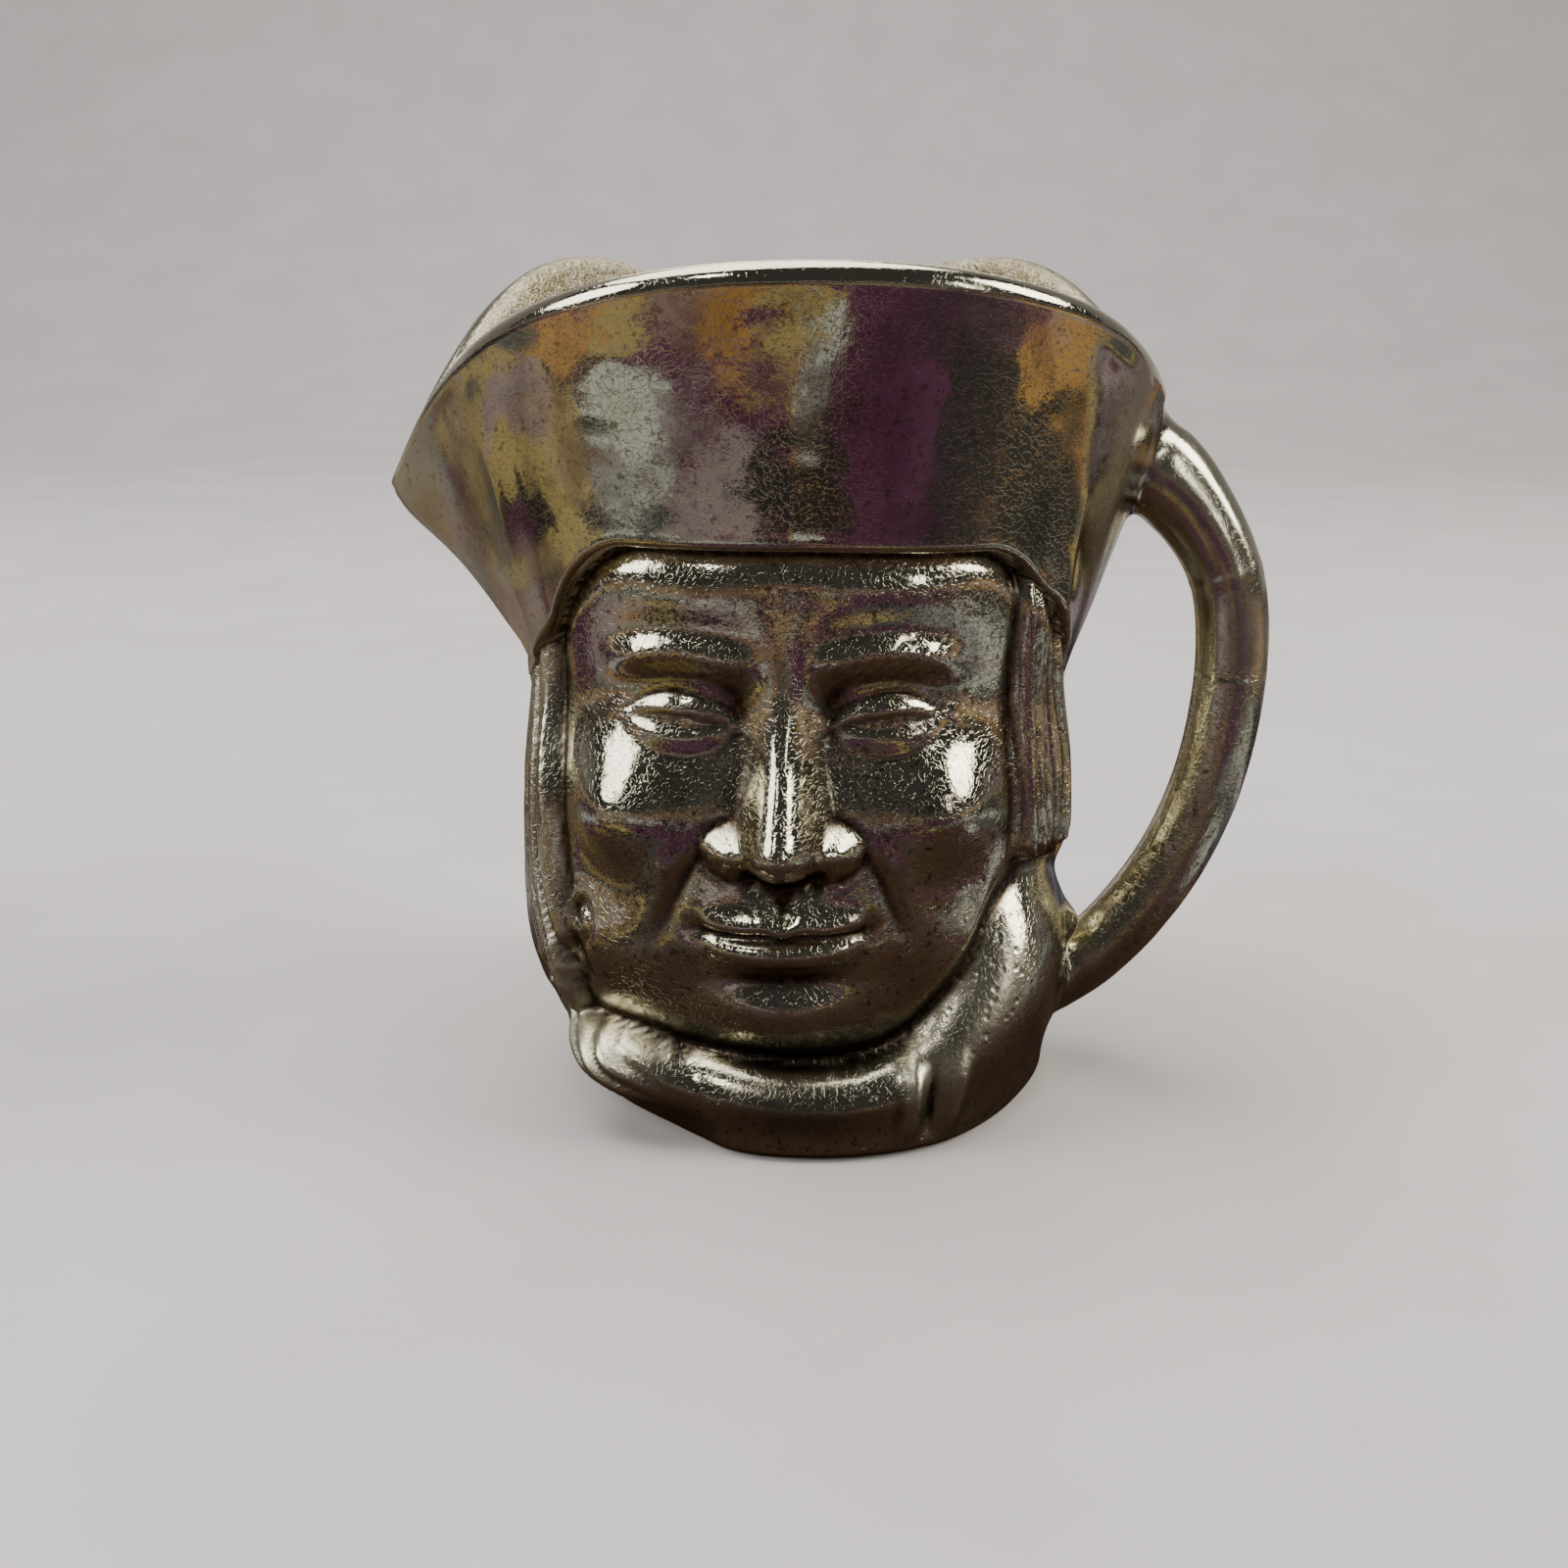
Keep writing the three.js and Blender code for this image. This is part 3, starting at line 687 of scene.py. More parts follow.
def handle_nodes():
    """A round bar along a curve: flared where it leaves the hat, slightly faceted and uneven."""
    tree = bpy.data.node_groups.new("Jug handle", "GeometryNodeTree")
    face = tree.interface
    face.new_socket("Curve", in_out="INPUT", socket_type="NodeSocketGeometry")
    for name, default in (
        ("Thickness", 5.3 * MM), ("Flare", 2.8 * MM), ("Flare reach", 0.14),
        ("Facet depth", 0.02 * MM), ("Unevenness", 0.1 * MM), ("Seam height", 0.05 * MM),
        ("Seam place", 0.268),
    ):
        socket = face.new_socket(name, in_out="INPUT", socket_type="NodeSocketFloat")
        socket.default_value = default
    for name, default in (("Steps", 150), ("Sides", 56), ("Facets", 9)):
        socket = face.new_socket(name, in_out="INPUT", socket_type="NodeSocketInt")
        socket.default_value = default
    face.new_socket("Material", in_out="INPUT", socket_type="NodeSocketMaterial")
    face.new_socket("Mesh", in_out="OUTPUT", socket_type="NodeSocketGeometry")
    given = tree.nodes.new("NodeGroupInput").outputs

    sources = {"Curve": given["Curve"], "Count": given["Steps"]}
    path = wire(tree, "GeometryNodeResampleCurve", sources).outputs[0]
    path, along = captured(tree, path, "Along")
    sources = {"Resolution": given["Sides"], "Radius": 1.0}
    circle = wire(tree, "GeometryNodeCurvePrimitiveCircle", sources).outputs["Curve"]
    circle, turn = captured(tree, circle, "Turn")
    factor = wire(tree, "GeometryNodeSplineParameter").outputs["Factor"]
    flare = times(tree, given["Flare"], bell(tree, factor, given["Flare reach"]))
    radius = times(tree, plus(tree, given["Thickness"], flare), 0.5)
    bar = wire(tree, "GeometryNodeCurveToMesh", {
        "Curve": path, "Profile Curve": circle, "Scale": radius, "Fill Caps": True,
    })

    # Across the handle the flare is half as strong as it is up and down.
    flare = times(tree, given["Flare"], bell(tree, along, given["Flare reach"]))
    half = plus(tree, given["Thickness"], times(tree, flare, 0.5))
    full = plus(tree, given["Thickness"], flare)
    position = wire(tree, "GeometryNodeInputPosition").outputs[0]
    narrow = wire(tree, "ShaderNodeCombineXYZ", {
        0: 1.0, 1: calculate(tree, "DIVIDE", half, full), 2: 1.0,
    })
    sources = {0: position, 1: narrow.outputs[0]}
    place = wire(tree, "ShaderNodeVectorMath", sources, operation="MULTIPLY").outputs[0]
    sources = {"Geometry": bar.outputs[0], "Position": place}
    flat = wire(tree, "GeometryNodeSetPosition", sources).outputs[0]

    # Facets, the waviness of the casting and one seam round the bar
    turns = times(tree, times(tree, turn, given["Facets"]), math.tau)
    facets = times(tree, calculate(tree, "COSINE", turns), given["Facet depth"])
    waves = wire(tree, "ShaderNodeTexNoise", {"Vector": position, "Scale": 260.0, "Detail": 2.0})
    uneven = minus(tree, waves.outputs["Fac"], 0.5)
    uneven = times(tree, uneven, given["Unevenness"])
    seam = bell(tree, minus(tree, along, given["Seam place"]), 0.006)
    seam = times(tree, seam, given["Seam height"])
    height = plus(tree, plus(tree, facets, uneven), seam)
    normal = wire(tree, "GeometryNodeInputNormal").outputs[0]
    sources = {0: normal, "Scale": height}
    offset = wire(tree, "ShaderNodeVectorMath", sources, operation="SCALE").outputs[0]
    sources = {"Geometry": flat, "Offset": offset}
    cast = wire(tree, "GeometryNodeSetPosition", sources).outputs[0]
    sources = {"Geometry": cast, "Shade Smooth": True}
    smooth = wire(tree, "GeometryNodeSetShadeSmooth", sources).outputs[0]
    real = wire(tree, "GeometryNodeRealizeInstances", {"Geometry": smooth}).outputs[0]
    sources = {"Geometry": real, "Material": given["Material"]}
    finish = wire(tree, "GeometryNodeSetMaterial", sources).outputs[0]
    wire(tree, "NodeGroupOutput", {"Mesh": finish})
    return tree


def input_identifier(tree, name):
    return next(
        item.identifier for item in tree.interface.items_tree
        if item.item_type == "SOCKET" and item.in_out == "INPUT" and item.name == name
    )


def make_handle(sizes, brass):
    """The handle as a closed bar, swept along its line by Geometry Nodes."""
    scale = sizes["height"] / DRAWN_HEIGHT
    curve = bpy.data.curves.new("handle line", "CURVE")
    curve.dimensions = "3D"
    path = handle_path(scale)
    line = curve.splines.new("POLY")
    line.points.add(len(path) - 1)
    line.points.foreach_set("co", [value for point in path for value in (*point, 1)])
    handle = linked("handle", curve)
    tree = handle_nodes()
    modifier = handle.modifiers.new("Jug handle", "NODES")
    modifier.node_group = tree
    modifier[input_identifier(tree, "Thickness")] = sizes["handle_thickness"] * MM
    modifier[input_identifier(tree, "Flare")] = sizes["handle_flare"] * MM
    modifier[input_identifier(tree, "Material")] = brass
    mesh = evaluated_mesh(handle)
    bpy.data.objects.remove(handle)
    return linked("bar", mesh)


def evaluated_mesh(source):
    graph = bpy.context.evaluated_depsgraph_get()
    graph.update()
    return bpy.data.meshes.new_from_object(source.evaluated_get(graph), depsgraph=graph)


def cut_or_join(piece, other, operation):
    """Cuts another solid off a piece, or joins it on, and removes the other one."""
    modifier = piece.modifiers.new(operation, "BOOLEAN")
    modifier.operation = operation
    modifier.solver = "MANIFOLD"
    modifier.object = other
    mesh = evaluated_mesh(piece)
    piece.modifiers.clear()
    piece.data = mesh
    bpy.data.objects.remove(other)


class Skin:
    """A mesh's points and neighbours, for smoothing and for measuring its hollows."""

    def __init__(self, mesh):
        self.mesh = mesh
        count = len(mesh.vertices)
        self.points = np.empty(count * 3, np.float64)
        mesh.vertices.foreach_get("co", self.points)
        self.points = self.points.reshape(-1, 3)
        edges = np.empty(len(mesh.edges) * 2, int)
        mesh.edges.foreach_get("vertices", edges)
        self.start, self.end = edges.reshape(-1, 2).T
        self.degree = np.bincount(edges, minlength=count)

    def average(self, values):
        """The mean of each point's neighbours."""
        total = np.zeros_like(values)
        for axis in range(values.shape[1]):
            total[:, axis] = np.bincount(self.start, values[self.end, axis], len(values))
            total[:, axis] += np.bincount(self.end, values[self.start, axis], len(values))
        return total / self.degree[:, None]

    def soften(self, weight, rounds):
        """Smooths the points, each by its own weight."""
        for _ in range(rounds):
            self.points += weight[:, None] * 0.5 * (self.average(self.points) - self.points)
        self.mesh.vertices.foreach_set("co", self.points.ravel())
        self.mesh.update()

    def normals(self):
        normals = np.empty(len(self.points) * 3)
        self.mesh.vertices.foreach_get("normal", normals)
        return normals.reshape(-1, 3)

    def hollow(self, rounds):
        """How deep each point lies below the smoothed surface, in metres, negative on ridges."""
        smooth = self.points.copy()
        for _ in range(rounds):
            smooth += 0.6 * (self.average(smooth) - smooth)
        return np.sum((smooth - self.points) * self.normals(), axis=1)


def joint_weight(mesh):
    """1 on the line where the handle meets the cup, falling to 0 at the joint's reach."""
    near, half_width, sharpest = 16.5 * MM, 6 * MM, -0.45
    work = bmesh.new()
    work.from_mesh(mesh)
    crease = []
    for edge in work.edges:
        middle = (edge.verts[0].co + edge.verts[1].co) / 2
        beside = middle.x > near and abs(middle.y) < half_width
        if beside and edge.calc_face_angle_signed(0) < sharpest:
            crease.append(middle.copy())
    work.free()
    if not crease:
        raise RuntimeError("the handle and the cup meet nowhere")
    points = np.array([vertex.co for vertex in mesh.vertices])
    weight = np.zeros(len(points))
    crease = np.array(crease)
    beside = (points[:, 0] > near - 2 * MM) & (np.abs(points[:, 1]) < half_width + 3 * MM)
    for group in np.array_split(np.flatnonzero(beside), 20):
        gap = np.linalg.norm(points[group, None] - crease[None], axis=2).min(axis=1)
        weight[group] = 1 - smoothstep(gap, 0.25 * JOINT_REACH, JOINT_REACH)
    return weight


def swept_hair_weight(mesh, sizes):
    """1 on the hair behind the left side, whose slanting grooves are rounded off, else 0."""
    x, y, z = (Skin(mesh).points / (MM * sizes["height"] / DRAWN_HEIGHT)).T
    angle = np.degrees(np.arctan2(x, -y))
    outside = np.hypot(x, y) > head_radius(angle, z) - 0.6
    back = smoothstep(-turn_between(angle, 0), 64, 78) * smoothstep(turn_between(angle, 180), 0, 20)
    return back * outside * (z < brim_foot(angle) - 0.5)


def add_attribute(mesh, name, values):
    attribute = mesh.attributes.new(name, "FLOAT", "POINT")
    attribute.data.foreach_set("value", values.astype(np.float32))


def surface_places(points, sizes):
    """Where points lie: their angles, radii and heights, and the skin outside them."""
    x, y, z = points.T
    angle = np.degrees(np.arctan2(x, -y))
    foot = brim_foot(angle)
    share = np.clip((z - foot - BRIM_ROLL) / (rim_height(angle) - foot - BRIM_ROLL), 0, 1)
    brim = brim_point(angle, share, sizes["wall"])[0]
    return SimpleNamespace(
        x=x, y=y, z=z, angle=angle, radius=np.hypot(x, y), foot=foot, share=share, brim=brim,
        on_hat=z > foot,
    )


def raw_shares(at, facing, sizes):
    """The unpolished metal inside the cup, and that under its foot."""
    outer = np.where(at.on_hat, at.brim, head_radius(at.angle, at.z) - 1)
    wall = sizes["wall"]
    deep = smoothstep(outer - at.radius, 0.35 * wall, 0.6 * wall)
    inward = -(facing[:, 0] * at.x + facing[:, 1] * at.y) / np.maximum(at.radius, 1)
    within = at.radius < np.where(at.on_hat, outer - 0.8, outer + 1.6)
    inside = np.maximum(deep, smoothstep(inward, 0, 0.3) * within) * (at.z > sizes["floor"] - 0.5)
    return inside, smoothstep(-facing[:, 2], 0.8, 0.95) * (at.z < 0.3)


def satin_share(at, lapel, left_hair, locks):
    """How satin the polish is: most on the corners of the hat, the collar's ends and the folds."""
    long, wide = lobe_place(at.angle, at.z)
    lobe = smoothstep(dome(np.minimum(long, 0), wide), 0.1, 0.5) * (1 - smoothstep(long, 0.3, 1))
    edge = np.abs(turn_between(at.angle, SPOUT_ANGLE)) - keel_edge(at.share)
    keel = (1 - 0.5 * smoothstep(edge, -1, 3) - 0.5 * smoothstep(edge, 8, 20)) * at.on_hat
    shoulder = hill(np.abs(turn_between(at.angle, 90)) - 20, 8) * at.on_hat
    folds = hill((at.angle - 27) / 8, 1) * hill((at.z - 5) / 3, 1)
    skin = np.where(at.on_hat, at.brim, body_radius(at.angle, at.z, locks))
    handle = smoothstep(at.radius - skin, 0.5, 1.5)
    collar_ends = 0.7 * lobe + 0.75 * lapel + 0.9 * folds
    return collar_ends + keel + 0.6 * shoulder + 0.35 * handle + 0.5 * left_hair


def mark_surface(mesh, sizes):
    """Marks for the finish: hollows, painted shade under the chin, ridges, raw, pitted, satin and combed
    places.
    """
    skin = Skin(mesh)
    unit = MM * sizes["height"] / DRAWN_HEIGHT
    near, wide = skin.hollow(8) / unit, skin.hollow(70) / unit
    at = surface_places(skin.points / unit, sizes)
    angle, z = at.angle, at.z
    inside, underneath = raw_shares(at, skin.normals(), sizes)
    hollows = smoothstep(near, 0.01, 0.09) * 0.6 + smoothstep(wide, 0.08, 0.5)
    # Darker across the collar's front under the chin: a stain, and painted shade under the jaw that also
    # dims the collar's highlight there
    chin_stain_and_shade = 0.7 * hill(angle + 2, 20) * smoothstep(z, 1, 3) * (1 - smoothstep(z, 6, 9))
    lapel = hill((angle - 42) / 14, 1) * hill((z - 11) / 6, 1)
    handle_foot = hill(np.hypot(np.hypot(at.x - 24.7, at.y), z - 12), 3.2)
    hair = hair_share(angle, z)
    left_hair = hair * smoothstep(-turn_between(angle, 0), 40, 55) * (z < at.foot)
    collar = smoothstep(collar_radius(angle, z) - at.radius, -0.6, 0.1)
    combed = hair * smoothstep(at.foot - z, 0, 0.6) * (1 - collar) * (1 - inside)
    shares = {
        # Tarnish in the hollows, with the painted shade under the chin added to it
        "hollow_tarnish_and_chin_shade": hollows + chin_stain_and_shade,
        "ridge": smoothstep(-near, 0.012, 0.09),
        "raw": np.maximum(inside, underneath),
        "pitted": lapel + handle_foot,
        "hat": smoothstep(z - at.foot, 0, 1),
        "satin": satin_share(at, lapel, left_hair, sizes["locks"]),
        "hair": combed * (1 - 0.6 * left_hair),
    }
    for name, values in shares.items():
        add_attribute(mesh, name, np.clip(values, 0, 1))
    add_attribute(mesh, "strand", np.radians(strand_place(angle, z)) * HAIR_RADIUS)


def noise(tree, place, scale, detail=2.0, roughness=0.5):
    sources = {"Vector": place, "Scale": scale, "Detail": detail, "Roughness": roughness}
    return wire(tree, "ShaderNodeTexNoise", sources).outputs["Fac"]


def ramp(tree, value, low, high, start=0.0, end=1.0):
    """A value stretched smoothly from one range to another."""
    sources = {"Value": value, "From Min": low, "From Max": high, "To Min": start, "To Max": end}
    kind = "ShaderNodeMapRange"
    return wire(tree, kind, sources, interpolation_type="SMOOTHSTEP").outputs["Result"]


def blend_colour(tree, share, a, b, blend="MIX"):
    node = wire(tree, "ShaderNodeMix", {0: share, 6: a, 7: b}, data_type="RGBA", blend_type=blend)
    return node.outputs[2]


def attribute(tree, name):
    return wire(tree, "ShaderNodeAttribute", attribute_name=name).outputs["Fac"]


def stretched(tree, place, turn, scale):
    sources = {"Vector": place, "Rotation": turn, "Scale": scale}
    return wire(tree, "ShaderNodeMapping", sources).outputs[0]


def brass_patterns(tree, place):
    """Slow clouds and stains, fine specks, and the fibres of unpolished metal."""
    return SimpleNamespace(
        cloud=noise(tree, stretched(tree, place, (0.4, 0.2, 0.9), (1, 1, 0.8)), 0.13, 4.0, 0.62),
        stain=noise(tree, stretched(tree, place, (1.1, 0.5, 0.3), (1, 1, 0.7)), 0.17, 5.0, 0.66),
        speck=noise(tree, place, 1.9, 4.0, 0.68),
        fibres=noise(tree, stretched(tree, place, (0.2, 0.3, 0.1), (1.8, 1.8, 0.35)), 1.0, 4.0, 0.7),
    )


def brass_tarnish_and_shade(tree, patterns, marks):
    """Tarnish in the hollows, painted shade under the chin, and freckles of tarnish elsewhere, fewer on
    the hat.
    """
    dirt_and_shade = times(tree, marks["hollow_tarnish_and_chin_shade"], ramp(tree, patterns.speck, 0.2, 0.6, 0.7, 1.0))
    strength = ramp(tree, marks["hat"], 0.0, 1.0, 0.75, 0.45)
    freckles = times(tree, ramp(tree, patterns.speck, 0.57, 0.64), strength)
    return calculate(tree, "MAXIMUM", dirt_and_shade, freckles)


def brass_colour(tree, finish, patterns, marks, dirt_and_shade):
    """Clean, dulled brass with stains, rubbed bright on its ridges, darkened by tarnish and by painted
    shade under the chin, and the unpolished inside.
    """
    brass, olive, amber, plum, tarnish, raw = (
        (*getattr(finish, name), 1) for name in ("brass", "olive", "amber", "plum", "tarnish", "raw")
    )
    cloud = patterns.cloud
    mottle = plus(tree, times(tree, patterns.fibres, 0.6), times(tree, cloud, 0.4))
    colour = olive
    for share, over in (
        (ramp(tree, cloud, 0.32, 0.52), brass),
        (times(tree, ramp(tree, cloud, 0.56, 0.64), 0.3), amber),
        (times(tree, ramp(tree, patterns.stain, 0.54, 0.62), 0.35), plum),
        # Tarnish colour over the hollows and freckles, and as painted shade under the chin
        (dirt_and_shade, tarnish),
        (times(tree, marks["ridge"], 0.8), brass),
        (times(tree, marks["raw"], 0.85), blend_colour(tree, ramp(tree, mottle, 0.42, 0.6), raw, amber)),
    ):
        colour = blend_colour(tree, share, colour, over)
    return colour


def brass_roughness(tree, finish, patterns, marks, dirt_and_shade):
    gloss = ramp(tree, patterns.stain, 0.46, 0.66, finish.gloss, finish.gloss + 0.1)
    for share, rise in ((dirt_and_shade, 0.22), (marks["raw"], 0.24), (marks["satin"], 0.33)):
        gloss = plus(tree, gloss, times(tree, share, rise))
    return gloss


def brass_relief(tree, place, patterns, marks):
    """Heights in millimetres: ripples, dashes, scratches, pits, combed hair and raw grain."""
    hat = marks["hat"]
    ripple = ramp(tree, hat, 0.0, 1.0, 0.033, 0.005)
    height = times(tree, noise(tree, place, 1.4, 3.0, 0.68), ripple)
    dashes = noise(tree, stretched(tree, place, (0.2, 0.0, 0.0), (4.0, 4.0, 1.3)), 1.0, 1.0)
    dashes = times(tree, dashes, ramp(tree, patterns.cloud, 0.42, 0.56, 0.012, 0.0))
    height = plus(tree, height, times(tree, dashes, ramp(tree, hat, 0.0, 1.0, 1.0, 0.3)))
    scratch = ramp(tree, hat, 0.0, 1.0, -0.005, -0.0018)
    for turn in ((0.3, 0.5, 0.2), (1.0, 0.1, 1.3)):
        lines = noise(tree, stretched(tree, place, turn, (2.6, 0.08, 2.6)), 0.7, 1.0)
        away = calculate(tree, "ABSOLUTE", minus(tree, lines, 0.5))
        height = plus(tree, height, ramp(tree, away, 0.0, 0.02, scratch, 0.0))
    cells = wire(tree, "ShaderNodeTexVoronoi", {"Vector": place, "Scale": 1.2}).outputs["Distance"]
    pits = times(tree, ramp(tree, cells, 0.0, 0.42, -0.07, 0.0), marks["pitted"])
    up = wire(tree, "ShaderNodeSeparateXYZ", {0: place}).outputs["Z"]
    strands = wire(tree, "ShaderNodeCombineXYZ", {0: attribute(tree, "strand"), 1: up}).outputs[0]
    combed = noise(tree, stretched(tree, strands, (0, 0, 0), (2.8, 0.12, 1.0)), 1.0, 2.0, 0.6)
    combed = times(tree, combed, times(tree, marks["hair"], 0.13))
    grain = times(tree, plus(tree, noise(tree, place, 1.9, 3.0, 0.7), patterns.fibres), marks["raw"])
    for more in (pits, combed, times(tree, grain, 0.42)):
        height = plus(tree, height, more)
    return height


def brass_material(finish):
    """Old polished brass: tarnish in the hollows, painted shade under the chin, hazy patches and stains,
    scratches and pits.
    """
    material = bpy.data.materials.new("cast brass")
    material.use_nodes = True
    tree = material.node_tree
    tree.nodes.clear()
    metres = wire(tree, "ShaderNodeTexCoord").outputs["Object"]
    place = stretched(tree, metres, (0, 0, 0), (1000, 1000, 1000))
    marks = {
        name: attribute(tree, name)
        for name in ("hollow_tarnish_and_chin_shade", "ridge", "raw", "pitted", "hat", "satin", "hair")
    }
    patterns = brass_patterns(tree, place)
    dirt_and_shade = brass_tarnish_and_shade(tree, patterns, marks)
    height = brass_relief(tree, place, patterns, marks)
    normal = wire(tree, "ShaderNodeBump", {"Strength": 1.0, "Distance": MM, "Height": height})
    shader = wire(tree, "ShaderNodeBsdfPrincipled", {
        "Base Color": brass_colour(tree, finish, patterns, marks, dirt_and_shade),
        "Metallic": 1.0,
        "Roughness": brass_roughness(tree, finish, patterns, marks, dirt_and_shade),
        "Normal": normal.outputs[0],
    })
    wire(tree, "ShaderNodeOutputMaterial", {"Surface": shader.outputs[0]})
    return material


def sheet_material(name, shade_of):
    """A matt sheet, with its colour from a function of its tree and its place on it."""
    material = bpy.data.materials.new(name)
    material.use_nodes = True
    tree = material.node_tree
    tree.nodes.clear()
    place = wire(tree, "ShaderNodeTexCoord").outputs["Object"]
    colour = shade_of(tree, place)
    shader = wire(tree, "ShaderNodeBsdfPrincipled", {
        "Base Color": colour, "Roughness": 0.8, "Specular IOR Level": 0.1,
    })
    wire(tree, "ShaderNodeOutputMaterial", {"Surface": shader.outputs[0]})
    return material


def faint_mottle(colour):
    darker = tuple(0.94 * value for value in colour)

    def shade_of(tree, place):
        share = ramp(tree, noise(tree, place, 40.0, 4.0), 0.35, 0.65)
        return blend_colour(tree, share, (*colour, 1), (*darker, 1))

    return shade_of


def patchwork(colours):
    """Patches of dark cloth round the jug that grow with their distance from it."""
    patches_per_radian, patches_per_fold = 2.0, 5.5
    plain_within, patched_from = 0.04, 0.055

    def shade_of(tree, place):
        wobble = wire(tree, "ShaderNodeTexNoise", {"Vector": place, "Scale": 60.0, "Detail": 3.0})
        wobble = wire(tree, "ShaderNodeVectorMath", {0: wobble.outputs["Color"], 1: (0.5, 0.5, 0.5)},
                      operation="SUBTRACT").outputs[0]
        wobble = wire(tree, "ShaderNodeVectorMath", {0: wobble, "Scale": 0.02}, operation="SCALE")
        bent = wire(tree, "ShaderNodeVectorMath", {0: place, 1: wobble.outputs[0]}).outputs[0]
        axes = wire(tree, "ShaderNodeSeparateXYZ", {0: bent}).outputs
        out = wire(tree, "ShaderNodeVectorMath", {0: bent}, operation="LENGTH").outputs["Value"]
        turn = calculate(tree, "ARCTAN2", axes["X"], axes["Y"])
        fold = calculate(tree, "LOGARITHM", out, math.e)
        polar = wire(tree, "ShaderNodeCombineXYZ", {
            0: times(tree, turn, patches_per_radian), 1: times(tree, fold, patches_per_fold),
        })
        sources = {"Vector": polar.outputs[0], "Scale": 1.0, "Randomness": 0.85}
        cells = wire(tree, "ShaderNodeTexVoronoi", sources, voronoi_dimensions="2D")
        pick = wire(tree, "ShaderNodeSeparateColor", {0: cells.outputs["Color"]}).outputs[0]
        steps = wire(tree, "ShaderNodeValToRGB", {0: pick})
        stops = steps.color_ramp
        stops.interpolation = "CONSTANT"
        for i, shade in enumerate(colours):
            stop = stops.elements[i] if i < 2 else stops.elements.new(i / len(colours))
            stop.position = i / len(colours)
            stop.color = (*shade, 1)
        far = ramp(tree, out, plain_within, patched_from)
        return blend_colour(tree, far, (*colours[0], 1), steps.outputs[0])

    return shade_of


def length(name, description, millimetres):
    return FloatProperty(
        name=name, description=description, default=millimetres * MM, unit="LENGTH",
    )


def colour(name, description, default):
    return FloatVectorProperty(
        name=name, description=description, default=default, subtype="COLOR",
    )


class JugSizes(bpy.types.PropertyGroup):
    """Sizes of the casting."""

    height: length("Height", "From the table to the top of the brim's front", 60)
    wall: length("Wall", "Thickness of the cast wall", 2.2)
    floor: length("Floor", "Thickness of the bottom", 3)
    foot_round: length("Foot rounding", "Rounding of the edge that stands on the table", 0.8)
    handle_thickness: length("Handle", "Thickness of the handle", 5.3)
    handle_flare: length("Handle flare", "How much thicker the handle is at the hat", 2.8)
    locks: IntProperty(
        name="Locks", description="Locks of hair round the whole head", default=30,
    )


class BrassFinish(bpy.types.PropertyGroup):
    """Colours and gloss of the brass."""

    brass: colour("Polished brass", "Colour where the metal is clean", (0.66, 0.62, 0.46))
    olive: colour("Dull brass", "Colour where the metal has dulled", (0.48, 0.45, 0.33))
    amber: colour("Amber stain", "Colour of the warm stains", (0.52, 0.42, 0.25))
    plum: colour("Plum stain", "Colour of the dark purplish stains", (0.32, 0.26, 0.26))
    # The tarnish colour also paints the shade under the chin
    tarnish: colour("Tarnish", "Colour of the dirt in the hollows", (0.06, 0.04, 0.024))
    raw: colour("Unpolished brass", "Colour of the metal inside", (0.72, 0.66, 0.47))
    gloss: FloatProperty(
        name="Roughness", description="Roughness of the polished metal", default=0.045,
        min=0, max=1, subtype="FACTOR",
    )


class StudioSettings(bpy.types.PropertyGroup):
    """The floor and the lights."""

    floor_colour: colour("Floor", "Colour of the floor and the backdrop", (0.62, 0.59, 0.58))
    cloth_colour: colour(
        "Dark cloth", "Colour that the polished metal reflects from near by", (0.035, 0.02, 0.014),
    )
    brightness: FloatProperty(
        name="Brightness", description="Strength of all the lights together", default=1,
        min=0, soft_max=4,
    )


class JUG_OT_cast(bpy.types.Operator):
    """Cast the cup and the handle as one piece of brass"""

    bl_idname = "toby_jug.cast"
    bl_label = "Cast the Jug"

    def execute(self, context):
        settings = context.scene.toby_jug_sizes
        lengths = ("height", "wall", "floor", "foot_round", "handle_thickness", "handle_flare")
        sizes = {name: getattr(settings, name) / MM for name in lengths}
        sizes["locks"] = settings.locks
        brass = brass_material(context.scene.toby_jug_finish)
        jug, room = make_cup(sizes)
        jug.data.materials.append(brass)
        handle = make_handle(sizes, brass)
        cut_or_join(handle, room, "DIFFERENCE")
        cut_or_join(jug, handle, "UNION")
        jug.name = PIECE + "_casting"
        Skin(jug.data).soften(joint_weight(jug.data), JOINT_ROUNDS)
        Skin(jug.data).soften(swept_hair_weight(jug.data, sizes), SWEPT_HAIR_ROUNDS)
        jug.data.shade_smooth()
        mark_surface(jug.data, sizes)
        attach(jug, "root")
        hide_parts(PIECE)
        return {"FINISHED"}


def area_light(name, place, target, size, power, colour):
    light = bpy.data.lights.new(name, "AREA")
    light.shape = "ELLIPSE"
    light.size, light.size_y = size
    light.energy = power
    light.color = colour
    lamp = linked(name, light)
    lamp.location = place
    lamp.rotation_euler = (Vector(target) - Vector(place)).to_track_quat("-Z", "Y").to_euler()


def sheet(name, vertices, faces, material):
    mesh = bpy.data.meshes.new(name)
    mesh.from_pydata(vertices, [], faces)
    mesh.materials.append(material)
    return linked(name, mesh)


